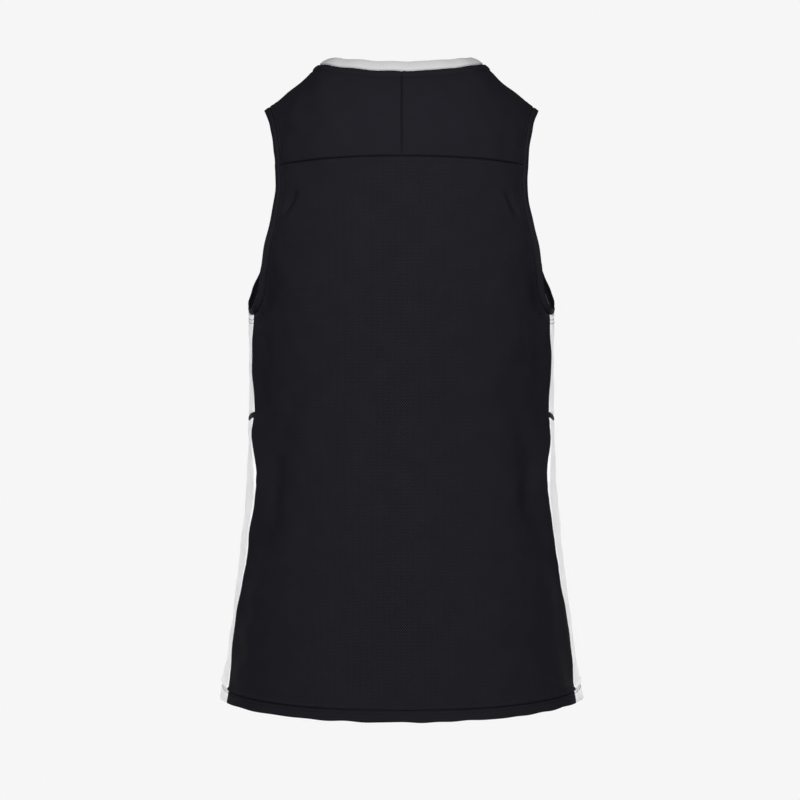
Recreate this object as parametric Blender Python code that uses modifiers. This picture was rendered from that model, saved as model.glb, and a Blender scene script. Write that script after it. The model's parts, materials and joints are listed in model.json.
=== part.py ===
"""A sleeveless sports jersey, filled out as if worn, with one object for each cut piece of cloth.

Sizes and tables are in millimetres, and become metres where a point is made. Heights are drops below
the two neck points, where the shoulder seams meet the neck band. x runs to the wearer's left, y to
the back and z up. The origin lies midway between the neck points, where the wearer's shoulders carry
the jersey. All pieces are cut from one form: rings of rounded sections up to the yoke seam, and above
it arches that run from the back over the shoulder line to the front.
"""

import bisect
import math
from collections import namedtuple

import bmesh
import bpy
from mathutils import Vector

MM = 0.001
COLLECTION = "sleeveless_jersey"
BACK = 1
FRONT = -1
LEFT = 1
RIGHT = -1

# Cloth walls, the gap that the pieces keep at a seam, the distance at which patches join, and the
# step in radians over which a normal is measured.
KNIT_WALL = 1.2
HEM_WALL = 2.4
BAND_WALL = 2.0
SEAM_GAP = 0.3
MERGE_DISTANCE = 0.002
ANGLE_STEP = 0.01

# Drops and widths of the main lines, and the points that the bands reach towards.
HEM_DROP = 731.0
HEM_TURN_UP = 14.0
HEM_WALL_TOP_DROP = 710.0
HEM_SIDE_LIFT = 8.5
HEM_LIFT_START = 560.0
YOKE_DROP = 118.0
YOKE_SAG = 3.6
YOKE_SAG_X = 135.0
YOKE_SAG_REACH = 50.0
NECK_HALF_WIDTH = 94.0
NECK_DROP = {BACK: 17.4, FRONT: 104.0}
NECK_CURVE = {BACK: 1.5, FRONT: 1.6}
SHOULDER_SEAM_END = 151.6
NECK_BAND_HEIGHT = 15.0
NECK_BAND_SEAM_GAP = 0.9
NECK_CENTRE = (0.0, 0.0, 40.0)
ARMHOLE_BAND_WIDTH = 7.0
ARMHOLE_CENTRE = (212.0, 10.0, -183.0)

# The armhole seam seen from the side: an egg, widest at one drop, its lowest point towards the back.
ARMHOLE_TOP_DROP = 42.0
ARMHOLE_WIDEST_DROP = 183.0
ARMHOLE_LOWEST_DROP = 287.0
ARMHOLE_LOWEST_Y = 44.0
ARMHOLE_REACH = {BACK: 75.8, FRONT: -66.0}
ARMHOLE_FULLNESS = {BACK: 2.4, FRONT: 2.0}
ARMHOLE_SHOULDER_CURVE = 1.7

# The strip let into each side panel slants down towards the front.
STRIP_WIDTH = 6.5
STRIP_DROP = {BACK: 400.0, FRONT: 411.0}

# How the neck band stands up from the form: its mean angle, and the roll that its foot adds to that
# angle and its top takes from it, by how far behind the shoulder plane the neckline lies.
NeckBandStand = namedtuple("NeckBandStand", "y lift roll")
NECK_BAND_STAND = (
    NeckBandStand(-60, 0, 0),
    NeckBandStand(-30, 2, 5),
    NeckBandStand(0, 6, 20),
    NeckBandStand(40, 18, 20),
    NeckBandStand(68, 23, 16),
)

# Numbers of facets.
HALF_COLUMNS = 13
NECK_COLUMNS = 7
UPPER_ROWS = 8
LOW_BODY_ROWS = 10
HIGH_BODY_ROWS = 4
LOW_ARMHOLE_ROWS = 4
HIGH_ARMHOLE_ROWS = 3
SIDE_COLUMNS = 8
NECK_BAND_ROWS = 3
ARMHOLE_BAND_ROWS = 2

# Where the neckline turns from the bottom of its curve to its sides, as a row of the upper grid and
# an angle of the neckline. Columns end on the bottom of the curve, and rows on its sides.
NECK_CORNER_ROW = {BACK: 7, FRONT: 3}
NECK_CORNER_ANGLE = {BACK: math.radians(72), FRONT: math.radians(50)}

# Body sections: half the width, the depth behind and before the shoulder plane, and the exponent of
# the rounded outline, where 2 is an ellipse.
Section = namedtuple("Section", "drop half_width back front exponent")
BODY = (
    Section(118, 164.0, 122.0, 110.0, 2.00),
    Section(142, 165.4, 123.4, 112.2, 2.04),
    Section(165, 167.6, 125.8, 116.0, 2.08),
    Section(190, 170.6, 128.3, 120.5, 2.12),
    Section(220, 173.4, 130.6, 125.0, 2.16),
    Section(255, 174.8, 131.8, 127.5, 2.20),
    Section(290, 174.5, 131.6, 127.0, 2.20),
    Section(335, 174.4, 129.6, 123.0, 2.20),
    Section(383, 174.4, 127.0, 119.5, 2.20),
    Section(440, 175.6, 126.5, 119.0, 2.20),
    Section(498, 178.2, 128.5, 121.5, 2.20),
    Section(556, 184.2, 132.0, 126.5, 2.20),
    Section(613, 191.2, 136.0, 130.5, 2.20),
    Section(671, 198.4, 139.0, 133.5, 2.20),
    Section(731, 208.0, 141.0, 136.0, 2.20),
)

# The highest line over the shoulders, carried on across the neck opening.
Crest = namedtuple("Crest", "x drop")
SHOULDER_LINE = (
    Crest(0, -9.0),
    Crest(50, -8.6),
    Crest(72, -7.4),
    Crest(85, -4.6),
    Crest(94, 0.0),
    Crest(100, 5.4),
    Crest(107, 12.2),
    Crest(118, 21.6),
    Crest(136, 35.2),
    Crest(149, 44.8),
    Crest(160, 52.6),
)

# How far each side seam lies behind and before the shoulder plane.
SideSeam = namedtuple("SideSeam", "drop back front")
SIDE_SEAM = (
    SideSeam(240, 44, 48),
    SideSeam(300, 44, 48),
    SideSeam(360, 44, 48),
    SideSeam(420, 51, 49),
    SideSeam(464, 61, 50),
    SideSeam(518, 55, 50),
    SideSeam(575, 52, 50),
    SideSeam(620, 47, 50),
    SideSeam(660, 45, 51),
    SideSeam(700, 50, 52),
    SideSeam(731, 53, 53),
)

# The largest folds, as soft ridges (height over 0) and troughs (under 0) about a line on the body.
# A turn is an angle about the body, 0 at the centre back and 90 at the wearer's left side.
Fold = namedtuple("Fold", "turn_top drop_top turn_end drop_end height half_width")
TURN_MM = 2.7
FOLDS = (
    Fold(58, 264, 61, 385, -3.6, 23),
    Fold(-59, 258, -60, 396, -3.2, 22),
    Fold(43, 392, 57, 548, -3.0, 17),
    Fold(-45, 380, -56, 530, -3.4, 18),
    Fold(66, 420, 65, 470, 2.6, 20),
    Fold(-65, 425, -66, 482, 2.8, 19),
    Fold(24, 560, 30, 700, 2.2, 22),
    Fold(-30, 590, -27, 705, 2.0, 20),
    Fold(122, 262, 128, 380, -3.4, 24),
    Fold(-124, 254, -127, 360, -3.0, 22),
    Fold(134, 400, 122, 550, -2.8, 18),
    Fold(-138, 412, -125, 540, -3.2, 19),
    Fold(160, 585, 152, 702, 2.2, 21),
    Fold(-158, 570, -163, 698, 1.9, 23),
)


def lerp(low, high, part):
    return low + (high - low) * part


def between(rows, where):
    """The other columns of a table at a place between its rows, on smooth curves through them."""
    keys = [row[0] for row in rows]
    index = min(max(bisect.bisect_right(keys, where) - 1, 0), len(rows) - 2)
    span = keys[index + 1] - keys[index]
    t = min(max((where - keys[index]) / span, 0.0), 1.0)

    def slope(k, column):
        low = rows[max(k - 1, 0)]
        high = rows[min(k + 1, len(rows) - 1)]
        return (high[column] - low[column]) / (high[0] - low[0])

    values = []
    for column in range(1, len(rows[0])):
        start = rows[index][column]
        end = rows[index + 1][column]
        rise_in = slope(index, column) * span
        rise_out = slope(index + 1, column) * span
        bend = 2 * (start - end) + rise_in + rise_out
        lean = 3 * (end - start) - 2 * rise_in - rise_out
        values.append(((bend * t + lean) * t + rise_in) * t + start)
    return values


def signed_power(value, exponent):
    return math.copysign(abs(value) ** exponent, value)


def fold_height(turn, drop):
    """How far the folds lift the cloth at a turn in radians."""
    total = 0.0
    for fold in FOLDS:
        away = (math.degrees(turn) - fold.turn_top + 180) % 360 - 180
        run = ((fold.turn_end - fold.turn_top) * TURN_MM, fold.drop_end - fold.drop_top)
        here = (away * TURN_MM, drop - fold.drop_top)
        length_squared = run[0] ** 2 + run[1] ** 2
        along = (here[0] * run[0] + here[1] * run[1]) / length_squared
        along = min(max(along, 0.0), 1.0)
        distance = math.hypot(here[0] - along * run[0], here[1] - along * run[1])
        total += fold.height * math.exp(-((distance / fold.half_width) ** 2))
    return total


def hem_lift(drop, turn):
    """How far the cloth rides up towards the sides of the hem."""
    low = max(drop - HEM_LIFT_START, 0.0) / (HEM_DROP - HEM_LIFT_START)
    return HEM_SIDE_LIFT * (low * math.sin(turn)) ** 2


def seam_sag(x, drop):
    """How far the cloth about the yoke seam sinks towards the armholes."""
    nearness = math.exp(-(((drop - YOKE_DROP) / YOKE_SAG_REACH) ** 2))
    return YOKE_SAG * abs(x / YOKE_SAG_X) ** 3 * nearness


def ring_point(drop, turn):
    """A point of the body at or below the yoke seam, in millimetres."""
    half_width, back, front, exponent = between(BODY, drop)
    depth = back if math.cos(turn) > 0 else front
    x = half_width * signed_power(math.sin(turn), 2 / exponent)
    y = depth * signed_power(math.cos(turn), 2 / exponent)
    sideways = signed_power(x / half_width, exponent - 1) / half_width
    backward = signed_power(y / depth, exponent - 1) / depth
    outward = Vector((sideways, backward, 0)).normalized()
    height = hem_lift(drop, turn) - seam_sag(x, drop) - drop
    return Vector((x, y, height)) + outward * fold_height(turn, drop)


def turn_at(drop, y):
    """The turn, on the wearer's left, at which a ring is y behind the shoulder plane."""
    _, back, front, exponent = between(BODY, drop)
    depth = back if y > 0 else front
    return math.acos(signed_power(y / depth, exponent / 2))


def crest_drop(x):
    return between(SHOULDER_LINE, abs(x))[0]


def arch_point(x, face, lift):
    """A point above the yoke seam: lift runs from 0 at that seam to a right angle at the crest."""
    half_width, back, front, exponent = between(BODY, YOKE_DROP)
    depth = back if face == BACK else front
    depth *= (1 - abs(x / half_width) ** exponent) ** (1 / exponent)
    rise = (YOKE_DROP - crest_drop(x)) * math.sin(lift)
    height = rise - YOKE_DROP - seam_sag(x, YOKE_DROP - rise)
    return Vector((x, face * depth * math.cos(lift), height))


def oval(part, fullness):
    """The height of a quarter of a rounded outline at a part of its length, both from 0 to 1."""
    return (1 - part**fullness) ** (1 / fullness)


def armhole_y(face, drop):
    """How far behind the shoulder plane the armhole seam lies at a drop."""
    if drop < ARMHOLE_WIDEST_DROP:
        fall = (ARMHOLE_WIDEST_DROP - drop) / (ARMHOLE_WIDEST_DROP - ARMHOLE_TOP_DROP)
        return ARMHOLE_REACH[face] * oval(fall, 2)
    fall = (drop - ARMHOLE_WIDEST_DROP) / (ARMHOLE_LOWEST_DROP - ARMHOLE_WIDEST_DROP)
    reach = oval(fall, ARMHOLE_FULLNESS[face])
    return lerp(ARMHOLE_LOWEST_Y, ARMHOLE_REACH[face], reach)


def armhole_drop(y):
    """The drop of the armhole seam under the arm."""
    face = BACK if y > ARMHOLE_LOWEST_Y else FRONT
    part = (y - ARMHOLE_LOWEST_Y) / (ARMHOLE_REACH[face] - ARMHOLE_LOWEST_Y)
    fall = oval(part, ARMHOLE_FULLNESS[face])
    return lerp(ARMHOLE_WIDEST_DROP, ARMHOLE_LOWEST_DROP, fall)


def armhole_x(face, lift):
    """Half the width between the armhole seams above the yoke seam."""
    low = ring_point(YOKE_DROP, turn_at(YOKE_DROP, armhole_y(face, YOKE_DROP))).x
    return lerp(low, SHOULDER_SEAM_END, math.sin(lift) ** ARMHOLE_SHOULDER_CURVE)


def side_seam_y(face, drop):
    back, front = between(SIDE_SEAM, drop)
    return back if face == BACK else -front


def seam_top_drop(face):
    """Where a side seam ends in the armhole seam."""
    return armhole_drop(side_seam_y(face, SIDE_SEAM[0].drop))


def low_rows(face):
    """Drops of the rows along a side seam, from the hem to the strip."""
    rows = [HEM_DROP]
    start = HEM_DROP - HEM_TURN_UP
    end = STRIP_DROP[face] + STRIP_WIDTH / 2
    for k in range(LOW_BODY_ROWS + 1):
        rows.append(lerp(start, end, k / LOW_BODY_ROWS))
    return rows


def high_rows(face):
    """Drops of the rows along a side seam, from the strip to the armhole."""
    start = STRIP_DROP[face] - STRIP_WIDTH / 2
    end = seam_top_drop(face)
    return [lerp(start, end, k / HIGH_BODY_ROWS) for k in range(HIGH_BODY_ROWS + 1)]


def armhole_rows(face):
    """Drops of the rows that end on the armhole seam, from the side seam up to the yoke seam."""
    seam = seam_top_drop(face) - ARMHOLE_WIDEST_DROP
    depth = ARMHOLE_LOWEST_DROP - ARMHOLE_WIDEST_DROP
    start = math.acos(seam / depth)
    rows = []
    for k in range(1, LOW_ARMHOLE_ROWS + 1):
        angle = lerp(start, math.pi / 2, k / LOW_ARMHOLE_ROWS)
        rows.append(ARMHOLE_WIDEST_DROP + depth * math.cos(angle))
    for k in range(1, HIGH_ARMHOLE_ROWS + 1):
        rows.append(lerp(ARMHOLE_WIDEST_DROP, YOKE_DROP, k / HIGH_ARMHOLE_ROWS))
    return rows


def body_row(face, drop, edge_y):
    """One row of the back or front panel, from the wearer's right edge to the left one."""
    edge = turn_at(drop, edge_y)
    centre = 0.0 if face == BACK else math.pi
    row = []
    for k in range(-HALF_COLUMNS, HALF_COLUMNS + 1):
        turn = lerp(centre, edge, abs(k) / HALF_COLUMNS)
        row.append(ring_point(drop, math.copysign(turn, k)))
    return row


def body_rows(face):
    """The rows of the back or front panel from the hem to the yoke seam's height."""
    rows = []
    for drop in low_rows(face) + high_rows(face):
        rows.append(body_row(face, drop, side_seam_y(face, drop)))
    for drop in armhole_rows(face):
        rows.append(body_row(face, drop, armhole_y(face, drop)))
    return rows


def neckline(face, angle):
    """(x, lift) on the neckline, at an angle from 0 at its centre to a right angle at its side."""
    x = NECK_HALF_WIDTH * math.sin(angle)
    drop = NECK_DROP[face] * math.cos(angle) ** NECK_CURVE[face]
    return x, math.asin((YOKE_DROP - drop) / (YOKE_DROP - crest_drop(x)))


def neckline_places(face):
    """(x, lift) of the neckline's points, from its centre to the neck point."""
    corner = NECK_CORNER_ANGLE[face]
    angles = [corner * k / NECK_COLUMNS for k in range(NECK_COLUMNS + 1)]
    steps = UPPER_ROWS - NECK_CORNER_ROW[face]
    for k in range(1, steps + 1):
        angles.append(lerp(corner, math.pi / 2, k / steps))
    return [neckline(face, angle) for angle in angles]


def armhole_place(face, row):
    """(x, lift) where a row of the upper grid ends on the armhole seam."""
    lift = math.pi / 2 * row / UPPER_ROWS
    return armhole_x(face, lift), lift


def blend(start, end, part):
    return lerp(start[0], end[0], part), lerp(start[1], end[1], part)


def upper_place(face, row, column):
    """(x, lift) of a point of the upper grid, from the yoke seam's height up, on the wearer's left."""
    corner_row = NECK_CORNER_ROW[face]
    neck = neckline_places(face)
    past_neck = (column - NECK_COLUMNS) / (HALF_COLUMNS - NECK_COLUMNS)
    if row > corner_row:
        start = neck[NECK_COLUMNS + row - corner_row]
        return blend(start, armhole_place(face, row), past_neck)
    if column <= NECK_COLUMNS:
        top = neck[column]
    else:
        top = blend(neck[NECK_COLUMNS], armhole_place(face, corner_row), past_neck)
    centre = 0.0 if face == BACK else math.pi
    edge_turn = turn_at(YOKE_DROP, armhole_y(face, YOKE_DROP))
    low_x = ring_point(YOKE_DROP, lerp(centre, edge_turn, column / HALF_COLUMNS)).x
    part = row / corner_row
    x, lift = blend((low_x, 0.0), top, part)
    chord = lerp(armhole_x(face, 0.0), armhole_place(face, corner_row)[0], part)
    bulge = armhole_place(face, row)[0] - chord
    return x + bulge * column / HALF_COLUMNS, lift


def upper_rows(face, rows, columns):
    """Rows of the upper grid. A column under 0 is the wearer's right one of the same number."""
    grid = []
    for row in rows:
        line = []
        for column in columns:
            x, lift = upper_place(face, row, abs(column))
            line.append(arch_point(math.copysign(x, column), face, lift))
        grid.append(line)
    return grid


def shoulder_rows(face, side):
    """The patch beside the neckline, from its corner row up to the shoulder seam."""
    rows = range(NECK_CORNER_ROW[face], UPPER_ROWS + 1)
    columns = [side * k for k in range(NECK_COLUMNS, HALF_COLUMNS + 1)]
    return upper_rows(face, rows, columns)


def side_row(side, back_drop, front_drop, drops):
    """One row of a side panel, from the back seam to the front seam."""
    back = side_seam_y(BACK, back_drop)
    front = side_seam_y(FRONT, front_drop)
    row = []
    for column, drop in enumerate(drops):
        y = lerp(back, front, column / SIDE_COLUMNS)
        row.append(ring_point(drop, turn_at(drop, y) * side))
    return row


def slant(back_drop, front_drop):
    """The drops along a straight line across a side panel."""
    return [lerp(back_drop, front_drop, k / SIDE_COLUMNS) for k in range(SIDE_COLUMNS + 1)]


def side_rows(side, back_drops, front_drops):
    rows = []
    for back_drop, front_drop in zip(back_drops, front_drops):
        rows.append(side_row(side, back_drop, front_drop, slant(back_drop, front_drop)))
    return rows


def underarm_stations():
    """(y, drop) along the armhole seam across the side panel, from the back seam to the front."""
    back = side_seam_y(BACK, SIDE_SEAM[0].drop)
    front = side_seam_y(FRONT, SIDE_SEAM[0].drop)
    return [(y, armhole_drop(y)) for y in slant(back, front)]


def side_upper_rows(side):
    """Rows of the side panel above the strip: the last one follows the armhole seam."""
    back_drops = high_rows(BACK)
    front_drops = high_rows(FRONT)
    starts = slant(back_drops[0], front_drops[0])
    ends = [drop for _, drop in underarm_stations()]
    rows = []
    for k, (back_drop, front_drop) in enumerate(zip(back_drops, front_drops)):
        drops = [lerp(start, end, k / HIGH_BODY_ROWS) for start, end in zip(starts, ends)]
        rows.append(side_row(side, back_drop, front_drop, drops))
    return rows


def across(first, second):
    """The unit vector square to two directions."""
    return first.cross(second).normalized()


def ring_normal(drop, turn):
    around = ring_point(drop, turn + ANGLE_STEP) - ring_point(drop, turn - ANGLE_STEP)
    down = ring_point(drop + 1, turn) - ring_point(max(drop - 1, YOKE_DROP), turn)
    return across(down, around)


def arch_normal(x, face, lift):
    sideways = arch_point(x + 1, face, lift) - arch_point(x - 1, face, lift)
    up = arch_point(x, face, lift + ANGLE_STEP) - arch_point(x, face, lift - ANGLE_STEP)
    return across(sideways, up) * -face


def armhole_stations(side):
    """(point, outward normal) around one armhole seam: down the back, under the arm, up the front."""
    stations = []

    def add_arch(face, lift):
        x = armhole_x(face, lift) * side
        stations.append((arch_point(x, face, lift), arch_normal(x, face, lift)))

    def add_ring(drop, y):
        turn = turn_at(drop, y) * side
        stations.append((ring_point(drop, turn), ring_normal(drop, turn)))

    lifts = [math.pi / 2 * k / UPPER_ROWS for k in range(UPPER_ROWS + 1)]
    for lift in reversed(lifts[1:]):
        add_arch(BACK, lift)
    for drop in reversed(armhole_rows(BACK)):
        add_ring(drop, armhole_y(BACK, drop))
    for y, drop in underarm_stations():
        add_ring(drop, y)
    for drop in armhole_rows(FRONT):
        add_ring(drop, armhole_y(FRONT, drop))
    for lift in lifts[1:-1]:
        add_arch(FRONT, lift)
    return stations


def neck_stations():
    """(point, outward normal) around the neckline: across the back, then across the front."""
    stations = []
    for face in (BACK, FRONT):
        places = neckline_places(face)
        last = len(places) - 1
        for k in range(last, -last, -1):
            x, lift = places[abs(k)]
            x = math.copysign(x, k * face)
            stations.append((arch_point(x, face, lift), arch_normal(x, face, lift)))
    return stations


def band_rows(stations, width, count, lift_at, centre):
    """Rows of a band that goes on from a seam towards the centre of its opening."""
    rows = [[] for _ in range(count + 1)]
    for index, (point, normal) in enumerate(stations):
        ahead = stations[(index + 1) % len(stations)][0]
        behind = stations[index - 1][0]
        inward = across(ahead - behind, normal)
        if inward.dot(centre - point) < 0:
            inward.negate()
        place = point.copy()
        rows[0].append(place.copy())
        for k in range(count):
            angle = lift_at(point, (k + 0.5) / count)
            place += (inward * math.cos(angle) + normal * math.sin(angle)) * (width / count)
            rows[k + 1].append(place.copy())
    return rows


def neck_band_rows():
    """The neck band stands up at the back and sides, and lies on the form's curve at the front."""

    def lift_at(point, part):
        lift, roll = between(NECK_BAND_STAND, point.y)
        return math.radians(lift + roll * (1 - 2 * part))

    centre = Vector(NECK_CENTRE)
    return band_rows(neck_stations(), NECK_BAND_HEIGHT, NECK_BAND_ROWS, lift_at, centre)


def armhole_band_rows(side):
    """An armhole band goes straight on from the panels it is sewn to."""

    def lift_at(point, part):
        return 0.0

    centre = Vector(ARMHOLE_CENTRE)
    centre.x *= side
    stations = armhole_stations(side)
    return band_rows(stations, ARMHOLE_BAND_WIDTH, ARMHOLE_BAND_ROWS, lift_at, centre)


def draw_in(mesh, distance):
    """Moves each edge of an open surface inwards along the cloth, to leave half a seam gap."""
    moves = {}
    for edge in mesh.edges:
        if not edge.is_boundary:
            continue
        face = edge.link_faces[0]
        inward = across(face.normal, edge.verts[1].co - edge.verts[0].co)
        if inward.dot(face.calc_center_median() - edge.verts[0].co) < 0:
            inward.negate()
        for vertex in edge.verts:
            moves.setdefault(vertex, []).append(inward)
    for vertex, (first, second) in moves.items():
        vertex.co += (first + second) * (distance / (1 + first.dot(second)))


def material(name, color, roughness):
    made = bpy.data.materials.new(name)
    made.use_nodes = True
    shader = made.node_tree.nodes["Principled BSDF"]
    shader.inputs["Base Color"].default_value = (*color, 1)
    shader.inputs["Roughness"].default_value = roughness
    shader.inputs["Metallic"].default_value = 0.0
    return made


def cloth_piece(name, patches, wall, cloth, closed=False, hem=False, gap=SEAM_GAP):
    """One cut piece: an open surface through patches of rows of points, thickened both ways."""
    mesh = bmesh.new()
    for rows in patches:
        grid = [[mesh.verts.new(point * MM) for point in row] for row in rows]
        columns = len(rows[0])
        for low, high in zip(grid, grid[1:]):
            for k in range(columns if closed else columns - 1):
                after = (k + 1) % columns
                mesh.faces.new((low[k], low[after], high[after], high[k]))
    bmesh.ops.remove_doubles(mesh, verts=mesh.verts, dist=MERGE_DISTANCE * MM)
    bmesh.ops.recalc_face_normals(mesh, faces=mesh.faces)
    mesh.normal_update()
    draw_in(mesh, gap / 2 * MM)
    data = bpy.data.meshes.new(name)
    mesh.to_mesh(data)
    mesh.free()
    data.shade_smooth()
    data.materials.append(cloth)
    piece = bpy.data.objects.new(name, data)
    bpy.data.collections[COLLECTION].objects.link(piece)
    solidify = piece.modifiers.new("Wall", "SOLIDIFY")
    solidify.thickness = wall * MM
    solidify.offset = 0
    if hem:
        turned_up = piece.vertex_groups.new(name="hem")
        hem_top = -HEM_WALL_TOP_DROP * MM
        turned_up.add([v.index for v in data.vertices if v.co.z < hem_top], 1.0, "REPLACE")
        solidify.thickness = HEM_WALL * MM
        solidify.vertex_group = turned_up.name
        solidify.thickness_vertex_group = wall / HEM_WALL
    return piece


def main():
    for old in list(bpy.data.objects):
        bpy.data.objects.remove(old, do_unlink=True)
    parts = bpy.data.collections.new(COLLECTION)
    bpy.context.scene.collection.children.link(parts)

    black_mesh = material("black_mesh_knit", (0.012, 0.012, 0.014), 0.7)
    black_knit = material("black_smooth_knit", (0.015, 0.015, 0.017), 0.6)
    white_mesh = material("white_mesh_knit", (0.78, 0.78, 0.79), 0.7)
    white_rib = material("white_rib_knit", (0.66, 0.66, 0.68), 0.75)

    both_halves = range(-HALF_COLUMNS, HALF_COLUMNS + 1)
    cloth_piece("back_panel", [body_rows(BACK)], KNIT_WALL, black_mesh, hem=True)
    front = [
        body_rows(FRONT),
        upper_rows(FRONT, range(NECK_CORNER_ROW[FRONT] + 1), both_halves),
        shoulder_rows(FRONT, LEFT),
        shoulder_rows(FRONT, RIGHT),
    ]
    cloth_piece("front_panel", front, KNIT_WALL, black_mesh, hem=True)
    neck = [neck_band_rows()]
    cloth_piece("neck_band", neck, BAND_WALL, white_rib, closed=True, gap=NECK_BAND_SEAM_GAP)

    strip_edges = [
        [STRIP_DROP[face] + STRIP_WIDTH / 2, STRIP_DROP[face] - STRIP_WIDTH / 2]
        for face in (BACK, FRONT)
    ]
    for side, word in ((LEFT, "left"), (RIGHT, "right")):
        half = [side * k for k in range(HALF_COLUMNS + 1)]
        yoke = [
            upper_rows(BACK, range(NECK_CORNER_ROW[BACK] + 1), half),
            shoulder_rows(BACK, side),
        ]
        cloth_piece(f"back_yoke_{word}", yoke, KNIT_WALL, black_knit)
        lower = side_rows(side, low_rows(BACK), low_rows(FRONT))
        cloth_piece(f"side_lower_{word}", [lower], KNIT_WALL, white_mesh, hem=True)
        strip = side_rows(side, *strip_edges)
        cloth_piece(f"side_strip_{word}", [strip], KNIT_WALL, black_knit)
        cloth_piece(f"side_upper_{word}", [side_upper_rows(side)], KNIT_WALL, white_mesh)
        band = armhole_band_rows(side)
        cloth_piece(f"armhole_band_{word}", [band], BAND_WALL, black_knit, closed=True)


main()
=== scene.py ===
"""Looks of the sleeveless jersey: each cut piece as a thin cloth shell on the form of its solid.

Sizes are in millimetres, and become metres where a mesh is made. Heights are drops below the two neck
points. x runs to the wearer's left, y to the back and z up. The form repeats that of the solids: rings
of rounded sections up to the yoke seam, and above it arches over the shoulders.
"""

import json
import math
from collections import namedtuple

import bpy
import numpy as np
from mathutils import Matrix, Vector
from mathutils.bvhtree import BVHTree

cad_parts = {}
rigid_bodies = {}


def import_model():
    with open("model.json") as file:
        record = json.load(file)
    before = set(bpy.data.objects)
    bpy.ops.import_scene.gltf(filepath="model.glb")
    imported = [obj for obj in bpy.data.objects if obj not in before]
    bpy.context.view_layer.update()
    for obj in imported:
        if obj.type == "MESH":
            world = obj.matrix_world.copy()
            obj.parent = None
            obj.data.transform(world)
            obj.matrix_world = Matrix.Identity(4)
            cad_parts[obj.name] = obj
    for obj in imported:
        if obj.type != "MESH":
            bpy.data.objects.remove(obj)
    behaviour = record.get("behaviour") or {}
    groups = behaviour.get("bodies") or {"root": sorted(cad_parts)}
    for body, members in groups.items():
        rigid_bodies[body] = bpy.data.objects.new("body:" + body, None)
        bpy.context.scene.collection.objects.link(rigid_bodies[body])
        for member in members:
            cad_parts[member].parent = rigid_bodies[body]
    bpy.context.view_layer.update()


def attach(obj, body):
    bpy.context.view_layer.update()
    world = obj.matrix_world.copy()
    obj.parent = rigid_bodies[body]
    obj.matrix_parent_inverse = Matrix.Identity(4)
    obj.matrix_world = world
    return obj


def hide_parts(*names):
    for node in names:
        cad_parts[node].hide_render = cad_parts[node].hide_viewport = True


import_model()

bl_info = {
    "name": "Sleeveless jersey",
    "version": (1, 0, 0),
    "blender": (4, 5, 0),
    "location": "View3D > Sidebar > Jersey",
    "description": "Builds the cloth, stitching and studio of a sleeveless sports jersey",
    "category": "Object",
}

MM = 0.001
BODY_NAME = "root"
UV_NAME = "cloth"
BACK = 1
FRONT = -1
SIDES = {"left": 1, "right": -1}
FACES = {"back": BACK, "front": FRONT}
CENTRE_TURN = {BACK: 0.0, FRONT: math.pi}
RIGHT_ANGLE = math.pi / 2

# ---- The form, as the solids have it ----

HEM_DROP = 731.0
HEM_TURN_UP = 14.0
HEM_SIDE_LIFT = 8.5
HEM_LIFT_START = 560.0
YOKE_DROP = 118.0
YOKE_SAG = 3.6
YOKE_SAG_X = 135.0
YOKE_SAG_REACH = 50.0
NECK_HALF_WIDTH = 94.0
NECK_DROP = {BACK: 17.4, FRONT: 104.0}
NECK_CURVE = {BACK: 1.5, FRONT: 1.6}
NECK_CORNER_ANGLE = {BACK: math.radians(72), FRONT: math.radians(50)}
NECK_CORNER_PART = {BACK: 7 / 8, FRONT: 3 / 8}
NECK_PART = 7 / 13
NECK_CENTRE = (0.0, 0.0, 40.0)
NECK_BAND_HEIGHT = 15.0
SHOULDER_SEAM_END = 151.6
ARMHOLE_BAND_WIDTH = 7.0
ARMHOLE_CENTRE = (212.0, 10.0, -183.0)
ARMHOLE_TOP_DROP = 42.0
ARMHOLE_WIDEST_DROP = 183.0
ARMHOLE_LOWEST_DROP = 287.0
ARMHOLE_LOWEST_Y = 44.0
ARMHOLE_REACH = {BACK: 75.8, FRONT: -66.0}
ARMHOLE_FULLNESS = {BACK: 2.4, FRONT: 2.0}
ARMHOLE_SHOULDER_CURVE = 1.7
STRIP_WIDTH = 6.5
STRIP_DROP = {BACK: 400.0, FRONT: 411.0}
SIDE_SEAM_TOP = 240.0
STEP = 0.01


def lerp(low, high, part):
    return low + (high - low) * part


def unit(vectors):
    return vectors / np.maximum(np.linalg.norm(vectors, axis=-1, keepdims=True), 1e-9)


def closed(values):
    return np.concatenate([values, values[:1]])


def hill(distance, width):
    """1 at no distance, falling smoothly to 0 over about two widths."""
    return np.exp(-((distance / width) ** 2))


def line_lengths(points):
    """How far along a line each of its points lies."""
    return np.r_[0, np.linalg.norm(np.diff(points, axis=0), axis=1).cumsum()]


def at_lengths(along, lengths, values):
    """A line's values at lengths along it."""
    return np.stack([np.interp(along, lengths, values[:, k]) for k in range(3)], -1)


def loop_ahead(points):
    """The way a closed line runs at each of its points."""
    return np.roll(points, -1, 0) - np.roll(points, 1, 0)


def smooth_loop(values, times):
    for _ in range(times):
        values = (np.roll(values, 1, 0) + 2 * values + np.roll(values, -1, 0)) / 4
    return values


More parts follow.
